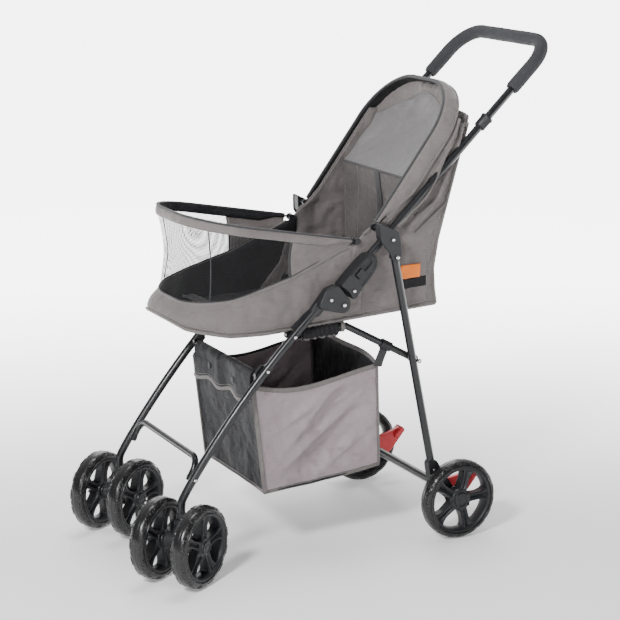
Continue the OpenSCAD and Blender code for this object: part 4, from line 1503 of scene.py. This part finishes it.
for side, sign in SIDES:
    # bowed front leg with a smooth bend into its upright foot
    pts = [on_bow(s) for s in np.linspace(41, 55.6, 24)]
    pts += [np.array([-0.3368, 0.1535]), np.array([-0.3394, 0.1440]), np.array([-0.33994, 0.1340]),
            np.array([-0.33994, 0.1180])]
    P = np.array([(sign * LEG_X, y, z) for y, z in pts])
    leg = tube("front_leg_tube_" + side, curve(P, 140), 0.0075, "coat", "front_frame", 24)
    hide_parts("front_leg_" + side)
    lathe("leg_ferrule_" + side, (sign * LEG_X, -0.33994, 0), (0, 0, 1),
          [(0.1180, 0.0066), (0.1180, 0.0092), (0.1192, 0.0098), (0.1270, 0.0098), (0.1284, 0.0090),
           (0.1290, 0.0074)], "plastic", "front_frame", 32)
    # latch: lower bracket and slotted housing with its button
    br = hull_of([(-0.042, 0.498, 0.0165), (-0.0185, 0.4795, 0.0160), (-0.056, 0.484, 0.0105),
                  (-0.034, 0.5045, 0.0130)], 64)
    o = plate("latch_bracket_" + side, br, sign * 0.1500, sign * 0.1662, "plastic", "front_frame", 0.0030,
              4)
    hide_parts("latch_base_" + side)
    sl = hull_of([(-0.040, 0.499, 0.0118), (-0.066, 0.4694, 0.0108)], 48)
    plate("latch_socket_" + side, sl, sign * 0.1394, sign * 0.1520, "plastic", "front_frame", 0.0025, 3)
    hp = [(4.5, 13.0), (40, 13.5), (72, 13.0), (86, 10.0), (93, 2.0), (92, -8), (84, -18), (66, -23),
          (30, -25.5), (9, -29), (5.5, -23), (9, -10), (8, 2)]
    poly = rounded([on_handle(s / 1000, t / 1000) for s, t in hp], 0.005, 5)
    slot_c = np.array(on_handle(0.060, 0.0))
    inner_poly = rounded([on_handle(s / 1000, t / 1000) for s, t in ((39, -6), (81, -6), (81, 6), (39, 6))],
                         0.0022, 4)
    N = 112
    lay = []
    for x, pl, k in ((0.1394, poly, 1.0), (0.1630, poly, 1.0), (0.1664, poly, 0.965),
                     (0.1664, inner_poly, 1.08), (0.1656, inner_poly, 1.0), (0.1622, inner_poly, 1.0)):
        rowp = []
        for i in range(N):
            q = ray_out(slot_c, 2 * PI * i / N, pl)
            q = slot_c + (q - slot_c) * k
            rowp.append((sign * x, q[0], q[1]))
        lay.append(rowp)
    verts = [v for r in lay for v in r]
    faces = [f if sign > 0 else f[::-1] for f in ring_faces(len(lay), N)]
    f1 = tuple(range((len(lay) - 1) * N, len(lay) * N))
    f0 = tuple(range(N))[::-1]
    faces += [f1, f0] if sign > 0 else [f1[::-1], f0[::-1]]
    o = put("latch_body_" + side, verts, faces, "plastic", "handle", [(v[1], v[2]) for v in verts], True)
    bevel(o, 0.0012, 3, 35)
    o.modifiers.new("wn", "WEIGHTED_NORMAL")
    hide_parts("latch_housing_" + side)
    rib = curve([(sign * 0.1668, *on_handle(s / 1000, t / 1000))
                 for s, t in ((34, 10.5), (60, 10.8), (82, 8.2), (88, 0), (84, -12), (66, -18.5),
                              (36, -20))], 60)
    tube("latch_rib_" + side, rib, 0.0011, "plastic", "handle", 8)
    # sprung button in the slot
    bt = rounded([on_handle(s / 1000, t / 1000)
                  for s, t in ((40.5, -5.4), (57.5, -5.4), (57.5, 5.4), (40.5, 5.4))], 0.0015, 4)
    o = plate("latch_button_" + side, bt, sign * 0.1626, sign * 0.1692, "button", "slider_" + side, 0.0009,
              3)
    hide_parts("latch_slider_" + side)
    # plate that carries the rear leg's pivot
    po = rounded([(0.052, 0.626), (0.0895, 0.607), (0.0965, 0.582), (0.0975, 0.562), (0.0885, 0.5495),
                  (0.0785, 0.5525), (0.0715, 0.568), (0.0525, 0.592)], 0.006, 6)
    o = plate("side_plate_shell_" + side, po, sign * 0.1729, sign * 0.1771, "plastic", "handle", 0.0014, 3)
    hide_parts("side_plate_" + side)
    pi = rounded([(0.053, 0.6245), (0.089, 0.606), (0.0935, 0.5845), (0.071, 0.5845), (0.054, 0.594)],
                 0.004, 5)
    plate("side_plate_core_" + side, pi, sign * 0.1557, sign * 0.1730, "plastic", "handle", 0.0012, 2)
    # domed heads over the rivets and pins
    ax = (sign, 0, 0)
    for k, (y, z, x, r, body) in enumerate((
            (*on_bow(41.35), 0.1674, 0.0042, "front_frame"), (-0.017, 0.479, 0.1676, 0.0050, "front_frame"),
            (0.004, 0.503, 0.1674, 0.0042, "handle"), (*on_bow(47.2), 0.1569, 0.0042, "front_frame"),
            (*on_bow(55.1), 0.1569, 0.0042, "front_frame"), (*on_bow(44.5), 0.1569, 0.0042, "front_frame"),
            (0.078, 0.593, 0.1785, 0.0042, "handle"), (0.088, 0.559, 0.1785, 0.0050, "handle"),
            (0.139, 0.355, 0.1739, 0.0042, "rear_frame"), (0.174, 0.136, 0.1742, 0.0036, "rear_frame"))):
        dome("rivet_head_%s_%d" % (side, k), (sign * x, y, z), ax, r, body)
    # collar under the grip
    cs = np.array([0.0, *on_handle(0.409, 0)])
    cs[0] = sign * LEG_X
    hv = np.array([0.0, CH, SH])
    o = lathe("collar_" + side, cs, hv,
              [(-0.0012, 0.0076), (-0.0012, 0.0098), (0.0010, 0.0110), (0.0190, 0.0110), (0.0200, 0.0122),
               (0.0240, 0.0122), (0.0252, 0.0108), (0.0252, 0.0076)],
              "plastic", "handle", 40)
    if sign > 0:
        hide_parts("handle_collars")
    # brake pedal: hub, arm and ribbed pad
    arm = rounded([(0.2065, 0.0815), (0.2240, 0.0880), (0.2325, 0.0725), (0.2560, 0.0665), (0.2680, 0.0785),
                   (0.2900, 0.1050), (0.2910, 0.1125),
                   (0.2830, 0.1195), (0.2500, 0.1080), (0.2060, 0.1030)], 0.006, 6)
    o = plate("brake_arm_" + side, arm, sign * 0.1405, sign * 0.1515, "red", "brake_" + side, 0.0022, 3)
    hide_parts("brake_pedal_" + side)
    padp = rounded([(0.2700, 0.0960), (0.2820, 0.1030), (0.2908, 0.1125), (0.2842, 0.1205),
                    (0.2660, 0.1060)], 0.003, 5)
    plate("brake_pad_" + side, padp, sign * 0.1340, sign * 0.1580, "red", "brake_" + side, 0.0024, 4)
    lathe("brake_hub_" + side, (sign * 0.1460, 0.205, 0.092), (1, 0, 0),
          [(-0.008, 0.0077), (-0.008, 0.0105), (-0.0072, 0.0115), (0.0072, 0.0115), (0.008, 0.0105),
           (0.008, 0.0077)],
          "red", "brake_" + side, 40)
    for k in range(3):
        q0 = np.array([0.2722 + 0.005 * k, 0.1118 + 0.0040 * k])
        tube("brake_rib_%s_%d" % (side, k),
             np.array([(sign * x, q0[0], q0[1]) for x in np.linspace(0.1365, 0.1555, 5)]), 0.0009, "red",
             "brake_" + side, 8)
    # gathered sleeve, loop and strap on the floor link
    lk = "link_" + side
    base = np.array([(sign * LINK_X, y, float(np.interp(y, [-0.11225, 0.005], [0.42752, 0.430])))
                     for y in np.linspace(-0.088, -0.012, 60)])
    verts, uv = [], []
    for i, q in enumerate(base):
        for k in range(28):
            b = 2 * PI * k / 28
            r = 0.0090 + 0.0011 * math.sin(i * 0.82) + 0.0008 * math.sin(i * 1.9 + 2.2 * b) + (0.0035
                    * max(0, -math.sin(b)))
            verts.append(q + np.array([math.cos(b) * r * 0.92, 0, math.sin(b) * r]))
            uv.append((i * 0.0013, b * 0.009))
    faces = [(a, d, c, b) for a, b, c, d in ring_faces(60, 28)]
    put("link_gather_" + side, verts, faces, "black", lk, uv, True, 0.0009)
    hem = base + np.array([0, 0, -0.0128]) + np.stack([0 * base[:, 0], 0 * base[:, 0],
                                                       0.0014 * np.sin(np.arange(60) * 0.5)], axis=1)
    tape("link_gather_hem_" + side, hem, [sign, 0, 0], 0.0050, 0.0026, "tape_t", lk)
    loop = np.array([(sign * LINK_X + 0.0082 * math.cos(b), -0.004, 0.4298 + 0.0095 * math.sin(b))
                     for b in np.linspace(0, 2 * PI, 36, endpoint=False)])
    sweep("link_loop_" + side, loop, oblong(0.0080, 0.0016), "tape_t", lk, True, up=(loop - loop.mean(0)))
    strap_p = curve([(sign * 0.1365, 0.0850, 0.3840), (sign * 0.1372, 0.0805, 0.3730),
                     (sign * 0.1352, 0.0745, 0.3560), (sign * 0.1335, 0.0720, 0.3440)], 24)
    tape("link_strap_" + side, strap_p, [sign, 0, 0], 0.018, 0.0018, "tape_b", lk)
    # black strip from the shell to the front leg
    strip = []
    for s in np.linspace(0, 1, 22):
        b = on_bow(44.2 - 1.9 * s)
        strip.append([(sign * (HALF + 0.0012), b[0] - 0.008, b[1] + 0.0035),
                      (sign * 0.1365, b[0] - 0.003, b[1] + 0.005),
                      (sign * 0.1402, b[0] + 0.002, b[1] + 0.0035)])
    grid("leg_strip_" + side, np.array(strip), "black", "front_frame", 0.0012)

# foam grip with softly rounded ends
arc_h = hoop_points((-0.020, 0.5015), 43.4, 0.148, 0.626, 0.058, 200, 0.0)
along = (arc_h - np.array([0, -0.020, 0.5015])) @ np.array([0, CH, SH])
keep = arc_h[along > 0.4975]
gP = curve(keep[:: max(1, len(keep) // 40)], 160)
sec_v, sec_uv = [], []
Bg, Ng = frames(gP, False, np.array([0, -SH, CH]))[1:]
for i in range(160):
    e = min(i, 159 - i) / 159.0
    r = 0.0130 * min(1.0, 0.86 + 14 * e) * (1 + 0.012 * math.sin(i * 0.23))
    for k in range(28):
        b = 2 * PI * k / 28
        sec_v.append(gP[i] + Bg[i] * r * math.cos(b) + Ng[i] * r * math.sin(b))
        sec_uv.append((i * 0.004, b * 0.013))
sec_f = [(a, d, c, b) for a, b, c, d in ring_faces(160, 28)]
sec_f += [tuple(range(28))[::-1], tuple(159 * 28 + k for k in range(28))]
grip = put("foam_sleeve", sec_v, sec_f, "foam", "handle", sec_uv, True)
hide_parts("foam_grip")

# ---------------------------------------------------------------- stage, light and camera

floor_me = bpy.data.meshes.new("floor")
floor_me.from_pydata([(-30, -30, 0), (30, -30, 0), (30, 30, 0), (-30, 30, 0)], [], [(0, 1, 2, 3)])
floor = bpy.data.objects.new("floor", floor_me)
scene.collection.objects.link(floor)
fm, nt, bs, out = new_mat("pale_floor")
co = node(nt, "ShaderNodeTexCoord").outputs["Object"]
nt.links.new(ramp(nt, noise_tex(nt, co, 1.5, 3), [(0.3, (0.90, 0.90, 0.90)), (0.7, (0.93, 0.93, 0.93))]),
             bs.inputs["Base Color"])
bs.inputs["Roughness"].default_value = 0.7
# the floor is lit from below away from the object, as a seamless studio sweep is
reach = node(nt, "ShaderNodeVectorMath")
reach.operation = "DISTANCE"
reach.inputs[1].default_value = (1.2, -0.6, 0.0)
nt.links.new(co, reach.inputs[0])
glow = node(nt, "ShaderNodeMapRange")
glow.interpolation_type = "SMOOTHSTEP"
for socket, value in (("From Min", 1.3), ("From Max", 3.8), ("To Min", 0.22), ("To Max", 5.6)):
    glow.inputs[socket].default_value = value
nt.links.new(reach.outputs["Value"], glow.inputs["Value"])
bs.inputs["Emission Color"].default_value = (1, 1, 1, 1)
nt.links.new(glow.outputs["Result"], bs.inputs["Emission Strength"])
floor_me.materials.append(fm)
floor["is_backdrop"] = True

world = bpy.data.worlds.new("studio")
scene.world = world
world.use_nodes = True
bg = world.node_tree.nodes["Background"]
wt = world.node_tree
wdir = node(wt, "ShaderNodeVectorMath")
wdir.operation = "DOT_PRODUCT"
wt.links.new(node(wt, "ShaderNodeTexCoord").outputs["Generated"], wdir.inputs[0])
wdir.inputs[1].default_value = (-0.85, 0.44, 0.30)
wt.links.new(ramp(wt, wdir.outputs["Value"], [(0.0, (0.10, 0.103, 0.108)), (0.75, (1.0, 1.0, 1.0))]),
             bg.inputs[0])
bg.inputs[1].default_value = 0.8


def area(name, loc, target, size, power):
    light = bpy.data.lights.new(name, "AREA")
    light.shape = "RECTANGLE"
    light.size, light.size_y = size
    light.energy = power
    o = bpy.data.objects.new(name, light)
    scene.collection.objects.link(o)
    o.location = loc
    d = Vector(target) - Vector(loc)
    o.rotation_euler = d.to_track_quat("-Z", "Y").to_euler()


area("key", (1.9, -2.5, 2.6), (0, -0.05, 0.4), (0.6, 0.6), 150)
area("fill", (3.0, -1.9, 1.3), (0, 0, 0.4), (0.8, 0.8), 26)
area("top", (-0.2, 0.2, 3.2), (0, 0, 0.3), (1.0, 1.0), 42)
area("rim", (-2.6, 1.0, 2.0), (0, 0, 0.5), (1.5, 2.0), 30)

yaw, pitch, roll = math.radians(62.571), math.radians(13.885), math.radians(-0.168)
back = Vector((math.sin(yaw) * math.cos(pitch), -math.cos(yaw) * math.cos(pitch), math.sin(pitch)))
right = Vector((math.cos(yaw), math.sin(yaw), 0))
upv = back.cross(right)
rot = Matrix((right, upv, back)).transposed() @ Matrix.Rotation(roll, 3, "Z")
cam_data = bpy.data.cameras.new("camera")
cam_data.sensor_width = 36
cam_data.lens = 109.07
cam_data.clip_end = 100
cam = bpy.data.objects.new("camera", cam_data)
scene.collection.objects.link(cam)
cam.matrix_world = Matrix.Translation((3.084, -1.602, 1.291)) @ rot.to_4x4()
scene.camera = cam

for piece, held, *rests_on in (
        ("tub_shell", "stretched", "front_leg_left", "front_leg_right"),
        ("tub_base", "stretched", "tub_shell"),
        ("rear_base", "stretched", "tub_base", "rear_panel"),
        ("visor_net", "stretched", "visor_hoop", "tub_shell"),
        ("visor_side_left", "stretched", "visor_hoop", "tub_shell"),
        ("visor_side_right", "stretched", "visor_hoop", "tub_shell"),
        ("visor_band", "folded", "visor_hoop"), ("side_panel_left", "hung", "handle_tube"),
        ("side_panel_right", "hung", "handle_tube"), ("rear_panel", "hung", "handle_tube"),
        ("rear_pocket", "hung", "rear_panel"), ("hood_band", "folded", "hood_hoop"),
        ("hood_lining", "stretched", "hood_hoop"),
        ("hood_gather", "gathered", "hood_hoop"), ("hood_cover", "stretched", "hood_hoop", "rear_panel"),
        ("hood_side_left", "gathered", "hood_hoop", "side_panel_left"),
        ("hood_side_right", "gathered", "hood_hoop", "side_panel_right"),
        ("inner_back", "hung", "hood_lining"),
        ("basket_side_left", "hung", "upper_crossbar"), ("basket_side_right", "hung", "upper_crossbar"),
        ("basket_front", "hung", "upper_crossbar"),
        ("basket_rear", "hung", "floor_link_left", "floor_link_right"),
        ("basket_base", "hung", "basket_front", "basket_rear")):
    cloth(bpy.data.objects[piece], held, *rests_on)

low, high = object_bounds()
